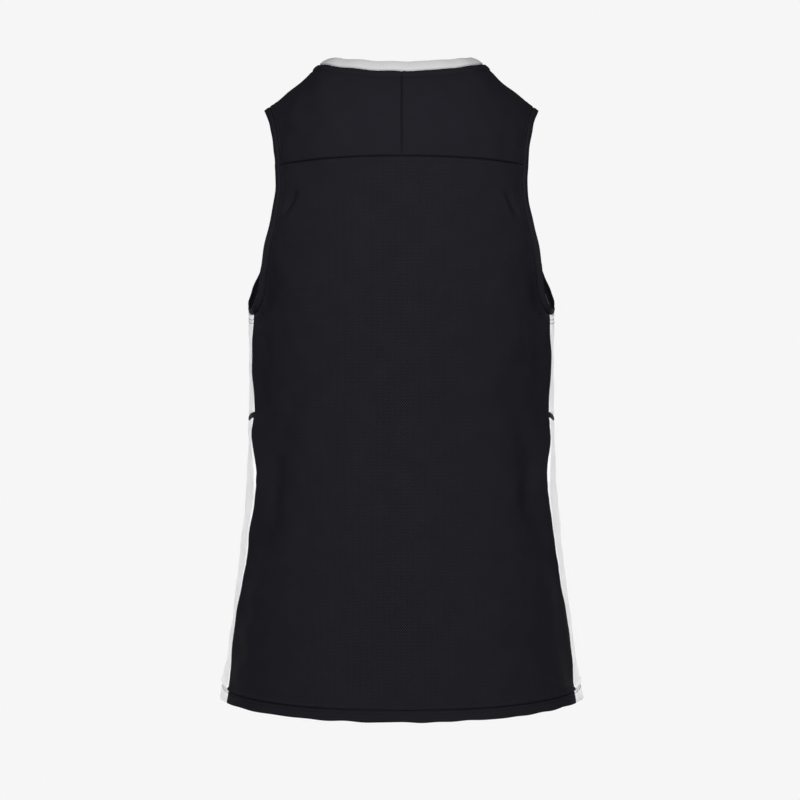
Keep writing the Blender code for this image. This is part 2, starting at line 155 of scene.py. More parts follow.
class Table:
    """Smooth curves through the rows of a table. Calling it gives its other columns at a place."""

    def __init__(self, *rows):
        table = np.array(rows, float)
        self.keys = table[:, 0]
        self.values = table[:, 1:]
        last = len(rows) - 1
        low = np.maximum(np.arange(last + 1) - 1, 0)
        high = np.minimum(np.arange(last + 1) + 1, last)
        run = (self.keys[high] - self.keys[low])[:, None]
        self.slopes = (self.values[high] - self.values[low]) / run

    def __call__(self, where):
        where = np.asarray(where, float)
        index = np.searchsorted(self.keys, where, side="right") - 1
        index = np.clip(index, 0, len(self.keys) - 2)
        span = (self.keys[index + 1] - self.keys[index])[..., None]
        t = np.clip((where - self.keys[index])[..., None] / span, 0, 1)
        start = self.values[index]
        end = self.values[index + 1]
        rise_in = self.slopes[index] * span
        rise_out = self.slopes[index + 1] * span
        bend = 2 * (start - end) + rise_in + rise_out
        lean = 3 * (end - start) - 2 * rise_in - rise_out
        return np.moveaxis(((bend * t + lean) * t + rise_in) * t + start, -1, 0)


# Body sections: drop, half the width, depth behind and before the shoulder plane, exponent.
BODY = Table(
    (118, 164.0, 122.0, 110.0, 2.00),
    (142, 165.4, 123.4, 112.2, 2.04),
    (165, 167.6, 125.8, 116.0, 2.08),
    (190, 170.6, 128.3, 120.5, 2.12),
    (220, 173.4, 130.6, 125.0, 2.16),
    (255, 174.8, 131.8, 127.5, 2.20),
    (290, 174.5, 131.6, 127.0, 2.20),
    (335, 174.4, 129.6, 123.0, 2.20),
    (383, 174.4, 127.0, 119.5, 2.20),
    (440, 175.6, 126.5, 119.0, 2.20),
    (498, 178.2, 128.5, 121.5, 2.20),
    (556, 184.2, 132.0, 126.5, 2.20),
    (613, 191.2, 136.0, 130.5, 2.20),
    (671, 198.4, 139.0, 133.5, 2.20),
    (731, 208.0, 141.0, 136.0, 2.20),
)
# The highest line over the shoulders: distance from the centre, drop.
SHOULDER_LINE = Table(
    (0, -9.0),
    (50, -8.6),
    (72, -7.4),
    (85, -4.6),
    (94, 0.0),
    (100, 5.4),
    (107, 12.2),
    (118, 21.6),
    (136, 35.2),
    (149, 44.8),
    (160, 52.6),
)
# How far each side seam lies behind and before the shoulder plane: drop, back, front.
SIDE_SEAM = Table(
    (240, 44, 48),
    (300, 44, 48),
    (360, 44, 48),
    (420, 51, 49),
    (464, 61, 50),
    (518, 55, 50),
    (575, 52, 50),
    (620, 47, 50),
    (660, 45, 51),
    (700, 50, 52),
    (731, 53, 53),
)
# How the neck band stands up from the form, a little lower than its solid: y of the neckline, mean
# angle, roll.
NECK_BAND_STAND = Table((-60, 0, 0), (-30, 0, 3), (0, -7, 14), (40, 3, 16), (68, 12, 14))
# How the armhole bands stand out from the form at the back: drop, angle.
ARMHOLE_BAND_STAND = Table((120, 0), (170, 6), (230, 42), (287, 36))

# The largest folds: turn and drop at both ends, height, half-width.
Fold = namedtuple("Fold", "turn_top drop_top turn_end drop_end height half_width")
TURN_MM = 2.7
FOLDS = (
    Fold(58, 264, 61, 385, -3.6, 23),
    Fold(-59, 258, -60, 396, -3.2, 22),
    Fold(43, 392, 57, 548, -3.0, 17),
    Fold(-45, 380, -56, 530, -3.4, 18),
    Fold(66, 420, 65, 470, 2.6, 20),
    Fold(-65, 425, -66, 482, 2.8, 19),
    Fold(24, 560, 30, 700, 2.2, 22),
    Fold(-30, 590, -27, 705, 2.0, 20),
    Fold(122, 262, 128, 380, -3.4, 24),
    Fold(-124, 254, -127, 360, -3.0, 22),
    Fold(134, 400, 122, 550, -2.8, 18),
    Fold(-138, 412, -125, 540, -3.2, 19),
    Fold(160, 585, 152, 702, 2.2, 21),
    Fold(-158, 570, -163, 698, 1.9, 23),
)


def signed_power(value, exponent):
    return np.copysign(np.abs(value) ** exponent, value)


def fold_height(turn, drop):
    total = np.zeros(np.broadcast(turn, drop).shape)
    for fold in FOLDS:
        away = (np.degrees(turn) - fold.turn_top + 180) % 360 - 180
        run = ((fold.turn_end - fold.turn_top) * TURN_MM, fold.drop_end - fold.drop_top)
        down = drop - fold.drop_top
        along = (away * TURN_MM * run[0] + down * run[1]) / (run[0] ** 2 + run[1] ** 2)
        along = np.clip(along, 0, 1)
        distance = np.hypot(away * TURN_MM - along * run[0], down - along * run[1])
        total = total + fold.height * hill(distance, fold.half_width)
    return total


def seam_sag(x, drop):
    nearness = hill(drop - YOKE_DROP, YOKE_SAG_REACH)
    return YOKE_SAG * np.abs(x / YOKE_SAG_X) ** 3 * nearness


def ring(drop, turn):
    """Points of the body at or below the yoke seam. A turn is 0 at the centre back."""
    drop, turn = np.broadcast_arrays(np.asarray(drop, float), np.asarray(turn, float))
    half_width, back, front, exponent = BODY(drop)
    depth = np.where(np.cos(turn) > 0, back, front)
    x = half_width * signed_power(np.sin(turn), 2 / exponent)
    y = depth * signed_power(np.cos(turn), 2 / exponent)
    sideways = signed_power(x / half_width, exponent - 1) / half_width
    backward = signed_power(y / depth, exponent - 1) / depth
    out = fold_height(turn, drop) / np.hypot(sideways, backward)
    low = np.maximum(drop - HEM_LIFT_START, 0) / (HEM_DROP - HEM_LIFT_START)
    lift = HEM_SIDE_LIFT * (low * np.sin(turn)) ** 2
    return np.stack([x + sideways * out, y + backward * out, lift - seam_sag(x, drop) - drop], -1)


def turn_at(drop, y):
    """The turn, on the wearer's left, at which a ring is y behind the shoulder plane."""
    _, back, front, exponent = BODY(drop)
    return np.arccos(signed_power(y / np.where(np.asarray(y) > 0, back, front), exponent / 2))


def side_point(drop, y, side=1):
    """Points of the body that lie y behind the shoulder plane, on the wearer's left or right."""
    return ring(drop, turn_at(drop, y) * side)


def crest_drop(x):
    return SHOULDER_LINE(np.abs(x))[0]


def yoke_section(face):
    """The section at the yoke seam: half its width, its depth on one face, and its exponent."""
    half_width, back, front, exponent = BODY(YOKE_DROP)
    return half_width, back if face == BACK else front, exponent


def arch(x, face, lift):
    """Points above the yoke seam. A lift is 0 at that seam and a right angle at the crest."""
    half_width, depth, exponent = yoke_section(face)
    depth = depth * (1 - np.abs(x / half_width) ** exponent) ** (1 / exponent)
    rise = (YOKE_DROP - crest_drop(x)) * np.sin(lift)
    height = rise - YOKE_DROP - seam_sag(x, YOKE_DROP - rise)
    return np.stack(np.broadcast_arrays(x, face * depth * np.cos(lift), height), -1)


def oval(part, fullness):
    return (1 - np.clip(part, 0, 1) ** fullness) ** (1 / fullness)


def armhole_y(face, drop):
    """How far behind the shoulder plane the armhole seam lies at a drop."""
    high = (ARMHOLE_WIDEST_DROP - drop) / (ARMHOLE_WIDEST_DROP - ARMHOLE_TOP_DROP)
    low = (drop - ARMHOLE_WIDEST_DROP) / (ARMHOLE_LOWEST_DROP - ARMHOLE_WIDEST_DROP)
    above = ARMHOLE_REACH[face] * oval(high, 2)
    below = lerp(ARMHOLE_LOWEST_Y, ARMHOLE_REACH[face], oval(low, ARMHOLE_FULLNESS[face]))
    return np.where(np.asarray(drop) < ARMHOLE_WIDEST_DROP, above, below)


def armhole_drop(face, y):
    """The drop of the armhole seam under the arm."""
    part = (y - ARMHOLE_LOWEST_Y) / (ARMHOLE_REACH[face] - ARMHOLE_LOWEST_Y)
    return lerp(ARMHOLE_WIDEST_DROP, ARMHOLE_LOWEST_DROP, oval(part, ARMHOLE_FULLNESS[face]))


def armhole_x(face, lift):
    """Half the width between the armhole seams above the yoke seam."""
    low = side_point(YOKE_DROP, armhole_y(face, YOKE_DROP))[..., 0]
    return lerp(low, SHOULDER_SEAM_END, np.sin(lift) ** ARMHOLE_SHOULDER_CURVE)


def side_seam_y(face, drop):
    back, front = SIDE_SEAM(drop)
    return back if face == BACK else -front


def seam_top_drop(face):
    return float(armhole_drop(face, side_seam_y(face, SIDE_SEAM_TOP)))


def neckline(face, angle):
    """(x, lift) on the neckline, at an angle from 0 at its centre to a right angle at its side."""
    x = NECK_HALF_WIDTH * np.sin(angle)
    drop = NECK_DROP[face] * np.maximum(np.cos(angle), 0) ** NECK_CURVE[face]
    share = (YOKE_DROP - drop) / (YOKE_DROP - crest_drop(x))
    return x, np.arcsin(np.clip(share, -1, 1))


def upper_place(face, row, column):
    """(x, lift) above the yoke seam, for parts from 0 to 1 of its rows and of its half-width."""
    corner_row = NECK_CORNER_PART[face]
    corner_angle = NECK_CORNER_ANGLE[face]
    past_neck = np.clip((column - NECK_PART) / (1 - NECK_PART), 0, 1)
    corner_x, corner_lift = neckline(face, corner_angle)
    corner_end = armhole_x(face, RIGHT_ANGLE * corner_row)

    under = np.minimum(column / NECK_PART, 1)
    neck_x, neck_lift = neckline(face, corner_angle * under)
    top_x = np.where(column <= NECK_PART, neck_x, lerp(corner_x, corner_end, past_neck))
    top_lift = lerp(corner_lift, RIGHT_ANGLE * corner_row, past_neck)
    top_lift = np.where(column <= NECK_PART, neck_lift, top_lift)
    edge_turn = turn_at(YOKE_DROP, armhole_y(face, YOKE_DROP))
    low_x = ring(YOKE_DROP, lerp(CENTRE_TURN[face], edge_turn, column))[..., 0]
    part = np.minimum(row / corner_row, 1)
    chord = lerp(armhole_x(face, 0.0), corner_end, part)
    bulge = armhole_x(face, RIGHT_ANGLE * np.minimum(row, corner_row)) - chord
    low = lerp(low_x, top_x, part) + bulge * column, top_lift * part

    beside = np.clip((row - corner_row) / (1 - corner_row), 0, 1)
    start_x, start_lift = neckline(face, lerp(corner_angle, RIGHT_ANGLE, beside))
    lift = RIGHT_ANGLE * row
    high = lerp(start_x, armhole_x(face, lift), past_neck), lerp(start_lift, lift, past_neck)
    above = row > corner_row
    return np.where(above, high[0], low[0]), np.where(above, high[1], low[1])


def form_point(where, across, drop):
    """Points on the form: across is x on the back and front, and y on the left and right sides."""
    if where in SIDES:
        return side_point(drop, across, SIDES[where])
    face = FACES[where]
    half_width, _, _, exponent = BODY(np.maximum(drop, YOKE_DROP))
    turn = np.arcsin(np.clip(np.abs(across) / half_width, 0, 1) ** (exponent / 2))
    turn = np.copysign(turn if face == BACK else math.pi - turn, across)
    share = (YOKE_DROP - drop) / (YOKE_DROP - crest_drop(across))
    lift = np.arcsin(np.clip(share, 0, 1))
    low = ring(np.maximum(drop, YOKE_DROP), turn)
    return np.where((drop >= YOKE_DROP)[..., None], low, arch(across, face, lift))


# ---- Creases, placed one by one ----

# A crease runs between two places of one side of the form, bowed sideways at its middle.
Crease = namedtuple("Crease", "where across_top drop_top across_end drop_end bow height half_width")
# The rows of each side of the form, with the columns of a Crease after where.
CREASE_ROWS = {
    "back": (
        # Puckers that point from the yoke seam into each armhole.
        (115, 150, 131, 177, 0, -3.8, 3.2),
        (109, 155, 124, 182, 0, 2.0, 3.6),
        (-114, 149, -130, 180, 0, -3.5, 3.3),
        (-108, 155, -123, 186, 0, 1.9, 3.7),
        # The shallow hollows under the arms and at the waist.
        (150, 240, 150, 404, 1, -1.3, 13.0),
        (-150, 236, -150, 410, -1, -1.2, 13.5),
        (140, 404, 142, 566, 0, -1.7, 12.5),
        (-140, 410, -141, 556, 0, -1.6, 12.0),
        # The rim beside the lower armhole, and the ridges along the side seam.
        (149, 236, 163, 284, 2, 1.1, 4.5),
        (167, 292, 164, 408, 0, 2.4, 7.0),
        (164, 398, 160, 478, 0, 3.2, 9.5),
        (160, 466, 174, 566, 0, 2.5, 8.0),
        (172, 548, 193, 700, 0, 2.0, 8.0),
        (-149, 232, -163, 286, -2, 1.0, 4.5),
        (-167, 290, -164, 412, 0, 2.4, 7.0),
        (-164, 402, -160, 484, 0, 3.0, 9.5),
        (-160, 470, -174, 574, 0, 2.4, 8.0),
        (-173, 556, -193, 704, 0, 2.0, 8.0),
        # Soft drag lines of the back.
        (138, 300, 108, 372, 5, -1.0, 9.0),
        (-136, 312, -112, 396, -4, -0.9, 10.0),
        (124, 215, 96, 262, 3, 0.7, 9.0),
        (-126, 224, -92, 276, -3, 0.7, 9.5),
        (60, 130, 52, 196, 2, 0.6, 10.0),
        (-48, 128, -56, 184, -2, 0.5, 11.0),
        (150, 452, 128, 520, 4, -1.0, 8.0),
        (-150, 446, -132, 508, -3, -0.9, 8.0),
        (84, 640, 90, 722, 2, 1.0, 12.0),
        (-62, 655, -58, 724, -2, 0.9, 13.0),
        (8, 630, 4, 716, 3, -0.7, 14.0),
        (150, 600, 160, 716, 2, -1.2, 11.0),
        (-154, 612, -158, 718, -2, -1.1, 12.0),
        # The yokes.
        (134, 84, 136, 116, 0, -0.9, 3.5),
        (112, 34, 128, 96, 2, 0.7, 9.0),
        (-116, 40, -130, 102, -2, 0.7, 10.0),
        (66, 34, 50, 100, 3, -0.5, 11.0),
        (-62, 30, -54, 92, -3, -0.5, 12.0),
    ),
    "front": (
        # Folded much as the back is.
        (116, 150, 132, 176, 0, -1.4, 5.0),
        (-112, 146, -130, 170, 0, -1.5, 5.0),
        (150, 232, 163, 280, 2, 1.0, 5.0),
        (-149, 238, -162, 282, -2, 1.0, 5.0),
        (136, 306, 104, 384, 5, -1.1, 9.0),
        (-138, 298, -110, 380, -4, -1.0, 10.0),
        (90, 112, 70, 170, 4, 0.8, 10.0),
        (-88, 108, -74, 176, -4, 0.8, 11.0),
        (34, 126, 40, 190, 2, -0.6, 12.0),
        (-30, 122, -44, 184, -2, -0.6, 12.0),
        (148, 450, 124, 526, 4, -1.0, 9.0),
        (-148, 458, -128, 522, -4, -1.0, 8.0),
        (76, 636, 70, 722, 2, 1.0, 13.0),
        (-86, 648, -92, 724, -2, 1.0, 12.0),
        (20, 640, 26, 720, 3, -0.7, 14.0),
        (120, 26, 122, 84, 2, 0.7, 9.0),
        (-118, 30, -124, 90, -2, 0.7, 9.0),
    ),
    "left": (
        (20, 318, 4, 384, 3, -0.9, 8.0),
        (-10, 470, 10, 560, -4, 1.0, 10.0),
        (26, 600, 30, 712, 2, -0.8, 10.0),
    ),
    "right": (
        (18, 326, -2, 392, -3, -0.9, 8.0),
        (-14, 462, 6, 548, 4, 1.0, 10.0),
        (24, 610, 28, 716, -2, -0.8, 10.0),
    ),
}
CREASES = [Crease(where, *row) for where, rows in CREASE_ROWS.items() for row in rows]
CREASE_POINTS = 24
CREASE_REACH = 2.6
CREASE_TAPER = 0.6
# Faint unevenness all over: height, and the waves' lengths along x, y and z with a phase.
RIPPLE_HEIGHT = 0.22
RIPPLES = ((47, 61, 83, 0.4), (-71, 39, 52, 2.1), (58, -66, 37, 4.0), (33, 92, -69, 5.2))


def crease_height(points, strength):
    """How far the creases and the faint ripple lift each point."""
    total = np.zeros(len(points))
    for crease in CREASES:
        t = np.linspace(0, 1, CREASE_POINTS)
        bow = crease.bow * 4 * t * (1 - t)
        across = lerp(crease.across_top, crease.across_end, t) + bow
        path = form_point(crease.where, across, lerp(crease.drop_top, crease.drop_end, t))
        reach = crease.half_width * CREASE_REACH
        inside = (points > path.min(0) - reach) & (points < path.max(0) + reach)
        near = np.flatnonzero(inside.all(1))
        if not len(near):
            continue
        start = path[:-1]
        run = path[1:] - start
        offset = points[near, None] - start
        along = np.clip((offset * run).sum(2) / (run * run).sum(1), 0, 1)
        distance = np.linalg.norm(offset - along[..., None] * run, axis=2)
        best = distance.argmin(1)
        pick = np.arange(len(near)), best
        place = (best + along[pick]) / len(run)
        taper = np.maximum(4 * place * (1 - place), 0) ** CREASE_TAPER
        total[near] += crease.height * taper * hill(distance[pick], crease.half_width)
    for along_x, along_y, along_z, phase in RIPPLES:
        waves = points / np.array((along_x, along_y, along_z)) * math.tau
        total += RIPPLE_HEIGHT * np.sin(waves.sum(1) + phase)
    return total * strength


# ---- Seams ----

# How cloth lies beside a seam: it dips into it, within a reach, and the allowance inside lifts it over
# a width. Rows of stitches press it down at their distances from the seam, by the row dip.
Seam = namedtuple("Seam", "dip reach lift width rows row_dip pucker")
NECK_ROWS = (11.0,)
ARMHOLE_ROWS = (6.0, 10.0)
NECK_SEAM = Seam(2.0, 1.6, 1.1, 9.5, NECK_ROWS, 1.3, 0.16)
ARMHOLE_SEAM = Seam(1.1, 1.0, 0.5, 11.0, ARMHOLE_ROWS, 0.6, 0.20)
YOKE_SEAM_ABOVE = Seam(2.0, 1.1, 0.0, 1.0, (), 0.0, 0.10)
YOKE_SEAM_BELOW = Seam(2.0, 1.1, 0.5, 6.0, (), 0.0, 0.14)
CENTRE_SEAM_FLAT = Seam(1.8, 1.1, 0.0, 1.0, (), 0.0, 0.05)
CENTRE_SEAM_FULL = Seam(1.8, 1.1, 0.5, 6.0, (), 0.0, 0.05)
SHOULDER_SEAM = Seam(0.9, 1.1, 0.3, 6.0, (), 0.0, 0.06)
PANEL_SEAM = Seam(1.6, 1.4, 0.3, 5.0, (), 0.0, 0.10)
STRIP_SEAM = Seam(1.0, 1.1, 0.0, 1.0, (), 0.0, 0.05)
SEAM_DEEPEST = 2.2
# A seam lies flatter towards its ends, where it meets other seams.
SEAM_END_LENGTH = 22.0
SEAM_END_SHARE = 0.35
ROW_REACH = {"above": 0.9, "below": 1.9}
PUCKER_LENGTH = 8.3
PUCKER_FADE = 6.0
# The puckers' spacing drifts by this part of a pucker, over this length.
PUCKER_DRIFT = 0.3
PUCKER_DRIFT_LENGTH = 31
# The allowance begins this far from the seam, and its two edges are this soft.
ALLOWANCE_START = 1.4
ALLOWANCE_SOFTNESS = (0.7, 0.9)
SEAM_REACH = 2.5
SEAM_BATCHES = 12
LINE_STEP = 0.6

# The hem is stitched with two needles, at this height at the centre and higher at the sides.
HEM_ROW_HEIGHT = 12.5
HEM_ROW_RISE = 7.0
HEM_ROW_SHARPNESS = 16
HEM_ROW_GAP = 3.6
HEM_RIDGE = 1.7
HEM_RIDGE_OFFSET = 2.6
HEM_RIDGE_WIDTH = 1.5
HEM_STITCH_DIPS = (1.9, 0.8)
HEM_STITCH_REACH = 1.1


def even_line(points):
    """A line of points at even steps, and how far along it each lies."""
    lengths = line_lengths(points)
    along = np.linspace(0, lengths[-1], max(int(lengths[-1] / LINE_STEP), 2))
    return at_lengths(along, lengths, points), along


def seam_height(points, line, seam):
    """How far a seam along a line lifts each point."""
    line, along = even_line(line)
    reach = max(seam.width, PUCKER_FADE) * SEAM_REACH
    inside = (points > line.min(0) - reach) & (points < line.max(0) + reach)
    height = np.zeros(len(points))
    soft_in, soft_out = ALLOWANCE_SOFTNESS
    for few in np.array_split(np.flatnonzero(inside.all(1)), SEAM_BATCHES):
        squared = ((points[few, None] - line) ** 2).sum(2)
        best = squared.argmin(1)
        distance = np.sqrt(squared[np.arange(len(few)), best])
        rise = np.tanh((distance - ALLOWANCE_START) / soft_in)
        lift = (rise - np.tanh((distance - seam.width) / soft_out)) / 2
        drift = PUCKER_DRIFT * np.sin(along[best] / PUCKER_DRIFT_LENGTH)
        phase = along[best] / PUCKER_LENGTH + drift
        pucker = seam.pucker * np.sin(math.tau * phase) * np.exp(-distance / PUCKER_FADE)
        found = seam.lift * lift - seam.dip * hill(distance, seam.reach) + pucker
        for row in seam.rows:
            reach = np.where(distance < row, ROW_REACH["above"], ROW_REACH["below"])
            found -= seam.row_dip * hill(distance - row, reach)
        to_end = np.minimum(along, along[-1] - along)[best] / SEAM_END_LENGTH
        height[few] = found * lerp(SEAM_END_SHARE, 1, np.clip(to_end, 0, 1))
    return height


def relief(points, strength, seams):
    """How far the creases and the seams lift each point."""
    height = sum(seam_height(points, line, seam) for line, seam in seams)
    return crease_height(points, strength) + np.maximum(height, -SEAM_DEEPEST)


def hem_row_height(turn):
    """How far above the hem's edge the upper row of stitches runs."""
    return HEM_ROW_HEIGHT + HEM_ROW_RISE * np.sin(turn) ** HEM_ROW_SHARPNESS


def hem_relief(turn, above):
    """The two stitched rows of the hem and the ridge over them, at a height above the edge."""
    row = hem_row_height(turn)
    height = HEM_RIDGE * hill(above - row - HEM_RIDGE_OFFSET, HEM_RIDGE_WIDTH)
    for count, dip in enumerate(HEM_STITCH_DIPS):
        stitched = row - HEM_ROW_GAP * count
        height -= dip * hill(above - stitched, HEM_STITCH_REACH)
    return height


# ---- Cloth meshes ----

# Distances from a seam of the rows beside it, and the most of a length that they take up.
EDGE_STEPS = (0, 0.5, 1.0, 1.6, 2.4, 3.4, 4.6, 6.0, 7.2, 8.6, 10.2, 12.0)
EDGE_SHARE = 0.9
CLOTH_STEP = 3.2
FOLD_RADIUS = 0.75
# About how long the stretches of cloth are whose rows or columns are spaced by graded.
HALF_BACK_LENGTH = 180
LOW_ARMHOLE_LENGTH = 125
HALF_NECK_LENGTH = 97
SHOULDER_LENGTH = 83
SIDE_WIDTH = 102
SIDE_UPPER_LENGTH = 120
# Above the yoke seam: up to the neckline's corner, and from there to the shoulder seam.
UPPER_LENGTHS = {BACK: (110, 24), FRONT: (60, 110)}
STRIP_ROWS = 9


def graded(length, fine_start=False, fine_end=False):
    """Parts from 0 to 1 of a length, at even steps but finer beside a seam."""
    head = np.array(EDGE_STEPS if fine_start else (0,), float)
    tail = np.array(EDGE_STEPS if fine_end else (0,), float)
    fit = min(1.0, EDGE_SHARE * length / max(head[-1] + tail[-1], 1))
    head = head * fit
    tail = tail * fit
    count = max(math.ceil((length - head[-1] - tail[-1]) / CLOTH_STEP), 1)
    middle = np.linspace(head[-1], length - tail[-1], count + 1)[1:-1]
    return np.concatenate([head, middle, length - tail[::-1]]) / length


class Patch:
    """A grid of points with their flat places in the cloth, both in millimetres."""

    def __init__(self, points, flat, shift=None):
        self.points = points
        self.flat = flat
        self.shift = np.zeros(points.shape[:2]) if shift is None else shift


def row_lengths(points, start=0):
    """How far along its row each point of a grid lies, from a column."""
    steps = np.linalg.norm(np.diff(points, axis=1), axis=2)
    along = np.concatenate([np.zeros((len(points), 1)), steps.cumsum(1)], 1)
    return along - along[:, start : start + 1]


def quads(rows, columns):
    at = np.arange(rows * columns).reshape(rows, columns)
    corners = at[:-1, :-1], at[:-1, 1:], at[1:, 1:], at[1:, :-1]
    return np.stack([corner.ravel() for corner in corners], 1)


class Cloth:
    """One cut piece as an open surface, joined from patches, then raised by creases and seams."""

    def __init__(self, patches, outward):
        points = np.concatenate([patch.points.reshape(-1, 3) for patch in patches])
        flat = np.concatenate([patch.flat.reshape(-1, 2) for patch in patches])
        shift = np.concatenate([patch.shift.ravel() for patch in patches])
        faces = []
        start = 0
        for patch in patches:
            rows, columns = patch.points.shape[:2]
            faces.append(quads(rows, columns) + start)
            start += rows * columns
        corners = np.concatenate(faces)
        _, first, joined = np.unique(
            np.round(points, 3), axis=0, return_index=True, return_inverse=True
        )
        self.points = points[first]
        self.shift = shift[first]
        self.faces = joined.ravel()[corners]
        self.corner_flat = flat[corners]
        if (self.normals() * outward(self.points)).sum() < 0:
            self.faces = self.faces[:, ::-1]
            self.corner_flat = self.corner_flat[:, ::-1]

    def normals(self):
        a, b, c, d = (self.points[self.faces[:, k]] for k in range(4))
        square = np.cross(c - a, d - b)
        total = np.zeros_like(self.points)
        for k in range(4):
            np.add.at(total, self.faces[:, k], square)
        return unit(total)

    def raised(self, height):
        self.points = self.points + self.normals() * (height + self.shift)[:, None]


# The flat cut of what shows of each piece, without seam allowances: width, length and area.
Cut = namedtuple("Cut", "width length area held")


def add_object(context, name, data):
    made = bpy.data.objects.new(name, data)
    context.scene.collection.objects.link(made)
    return made


def set_flat(mesh, flat):
    """Gives each corner of a mesh its place in the flat cloth."""
    layer = mesh.uv_layers.new(name=UV_NAME)
    layer.uv.foreach_set("vector", (flat * MM).astype(np.float32).ravel())


def add_piece(context, node, cloth, material):
    """Makes a cut piece, thickened both ways, in the place of its node."""
    name = node + "_cloth"
    mesh = bpy.data.meshes.new(name)
    mesh.from_pydata((cloth.points * MM).tolist(), [], cloth.faces.tolist())
    set_flat(mesh, cloth.corner_flat)
    mesh.shade_smooth()
    mesh.materials.append(material)
    piece = add_object(context, name, mesh)
    wall = piece.modifiers.new("Cloth", "SOLIDIFY")
    wall.thickness = context.scene.jersey_sizes.cloth_thickness
    wall.offset = 0
    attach(piece, BODY_NAME)
    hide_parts(node)
    piece["jersey_cloth"] = True


def add_panel(context, node, patches, material, seams):
    """Adds a piece raised by the creases and by its seams, which are pairs of a line and a Seam."""
    cloth = Cloth(patches, outward_of_body)
    strength = context.scene.jersey_sizes.crease_strength
    cloth.raised(relief(cloth.points, strength, seams))
    add_piece(context, node, cloth, material)


def seams_of_side(lines, side, seams):
    """Pairs of a line and a Seam on one side, from the lines for the wearer's left."""
    return [(lines[name] * (side, 1, 1), seam) for name, seam in seams.items()]


def outward_of_body(points):
    """A rough outward direction: away from a line down the middle of the body."""
    away = points * (1, 1, 0)
    away[:, 2] = np.maximum(points[:, 2] + YOKE_DROP, 0)
    return away


# ---- Body rows ----

HEM_EDGE_LIFT = 1.2
HEM_EDGE_DROP = HEM_DROP - HEM_EDGE_LIFT
HEM_FINE_TOP = 704.0
HEM_FINE_STEP = 1.1
HEM_FOLD_STEPS = 5
HEM_FOLD_ROWS = 12


def body_drops(face):
    """Drops of the rows of the back or front panel, and the y of its edge at each."""
    seam_top = seam_top_drop(face)
    fine = np.arange(HEM_EDGE_DROP, HEM_FINE_TOP, -HEM_FINE_STEP)
    side = lerp(HEM_FINE_TOP, seam_top, graded(HEM_FINE_TOP - seam_top))
    depth = ARMHOLE_LOWEST_DROP - ARMHOLE_WIDEST_DROP
    start = math.acos(min((seam_top - ARMHOLE_WIDEST_DROP) / depth, 1))
    low = ARMHOLE_WIDEST_DROP + depth * np.cos(lerp(start, RIGHT_ANGLE, graded(LOW_ARMHOLE_LENGTH)[1:]))
    parts = graded(ARMHOLE_WIDEST_DROP - YOKE_DROP, fine_end=face == BACK)[1:]
    high = lerp(ARMHOLE_WIDEST_DROP, YOKE_DROP, parts)
    drops = np.concatenate([fine, side, low, high])
    on_side = np.arange(len(drops)) < len(fine) + len(side)
    edge = np.where(on_side, side_seam_y(face, drops), armhole_y(face, drops))
    return drops, edge


def hem_patch(turns, flat_across):
    """The hem's turned-up layer: round the fold at the edge and up the inside."""
    base = ring(HEM_EDGE_DROP, turns)
    inward = unit(base * (-1, -1, 0))
    rows = [base]
    for angle in np.linspace(0, math.pi, HEM_FOLD_STEPS)[1:]:
        shift = inward * FOLD_RADIUS * (1 - math.cos(angle))
        rows.append(base + shift - (0, 0, FOLD_RADIUS * math.sin(angle)))
    for height in np.linspace(0, HEM_TURN_UP, HEM_FOLD_ROWS)[1:]:
        rows.append(ring(HEM_EDGE_DROP - height, turns) + inward * FOLD_RADIUS * 2)
    points = np.stack(rows)
    steps = np.linalg.norm(np.diff(points, axis=0), axis=2).cumsum(0)
    down = HEM_EDGE_DROP + np.concatenate([np.zeros((1, len(turns))), steps])
    flat = np.stack([np.broadcast_to(flat_across, down.shape), down], -1)
    return Patch(points[::-1], flat[::-1])


def both_halves(parts):
    """Parts of the half-width on both sides, under 0 on the wearer's right."""
    return np.concatenate([-parts[:0:-1], parts])


def body_patches(face, parts):
    """The rows of the back or front panel from the hem to the yoke seam's height."""
    drops, edge_y = body_drops(face)
    edge = turn_at(drops, edge_y)[:, None]
    both = both_halves(parts)
    turns = lerp(CENTRE_TURN[face], edge, np.abs(both))
    turns = np.copysign(turns, np.where(both == 0, 1.0, both))
    points = ring(drops[:, None], turns)
    along = row_lengths(points, len(parts) - 1)
    flat = np.stack([along, np.broadcast_to(drops[:, None], along.shape)], -1)
    body = Patch(points, flat, hem_relief(turns, HEM_DROP - drops[:, None]))
    hem = hem_patch(turns[0], along[0])
    hem.shift[-1] = body.shift[0]
    return body, hem


ARCH_POINTS = 200
ARCH_PIECES = 12


def arch_flat(x, face, lift):
    """The flat place in the cloth of a point above the yoke seam."""
    half_width, depth, _ = yoke_section(face)
    angle = np.arcsin(np.clip(np.abs(x) / half_width, 0, 1))
    steps = np.linspace(0, RIGHT_ANGLE, ARCH_POINTS)
    middle = (steps[1:] + steps[:-1]) / 2
    arc = np.hypot(half_width * np.cos(middle), depth * np.sin(middle)) * np.diff(steps)
    around = np.interp(angle, steps, np.r_[0, arc.cumsum()])
    across = lerp(around, np.abs(x), np.sin(lift) ** 2)
    deep = depth * np.sqrt(1 - (np.abs(x) / half_width) ** 2)
    rise = YOKE_DROP - crest_drop(x)
    up = np.zeros(np.broadcast(x, lift).shape)
    for k in range(ARCH_PIECES):
        at = lift * (k + 0.5) / ARCH_PIECES
        up = up + np.hypot(deep * np.sin(at), rise * np.cos(at)) * lift / ARCH_PIECES
    return np.stack([np.copysign(across, x), YOKE_DROP - up], -1)


def upper_patch(face, rows, columns):
    """A patch above the yoke seam. A column under 0 is on the wearer's right."""
    row, column = np.meshgrid(rows, columns, indexing="ij")
    x, lift = upper_place(face, row, np.abs(column))
    x = np.copysign(x, column)
    return Patch(arch(x, face, lift), arch_flat(x, face, lift))


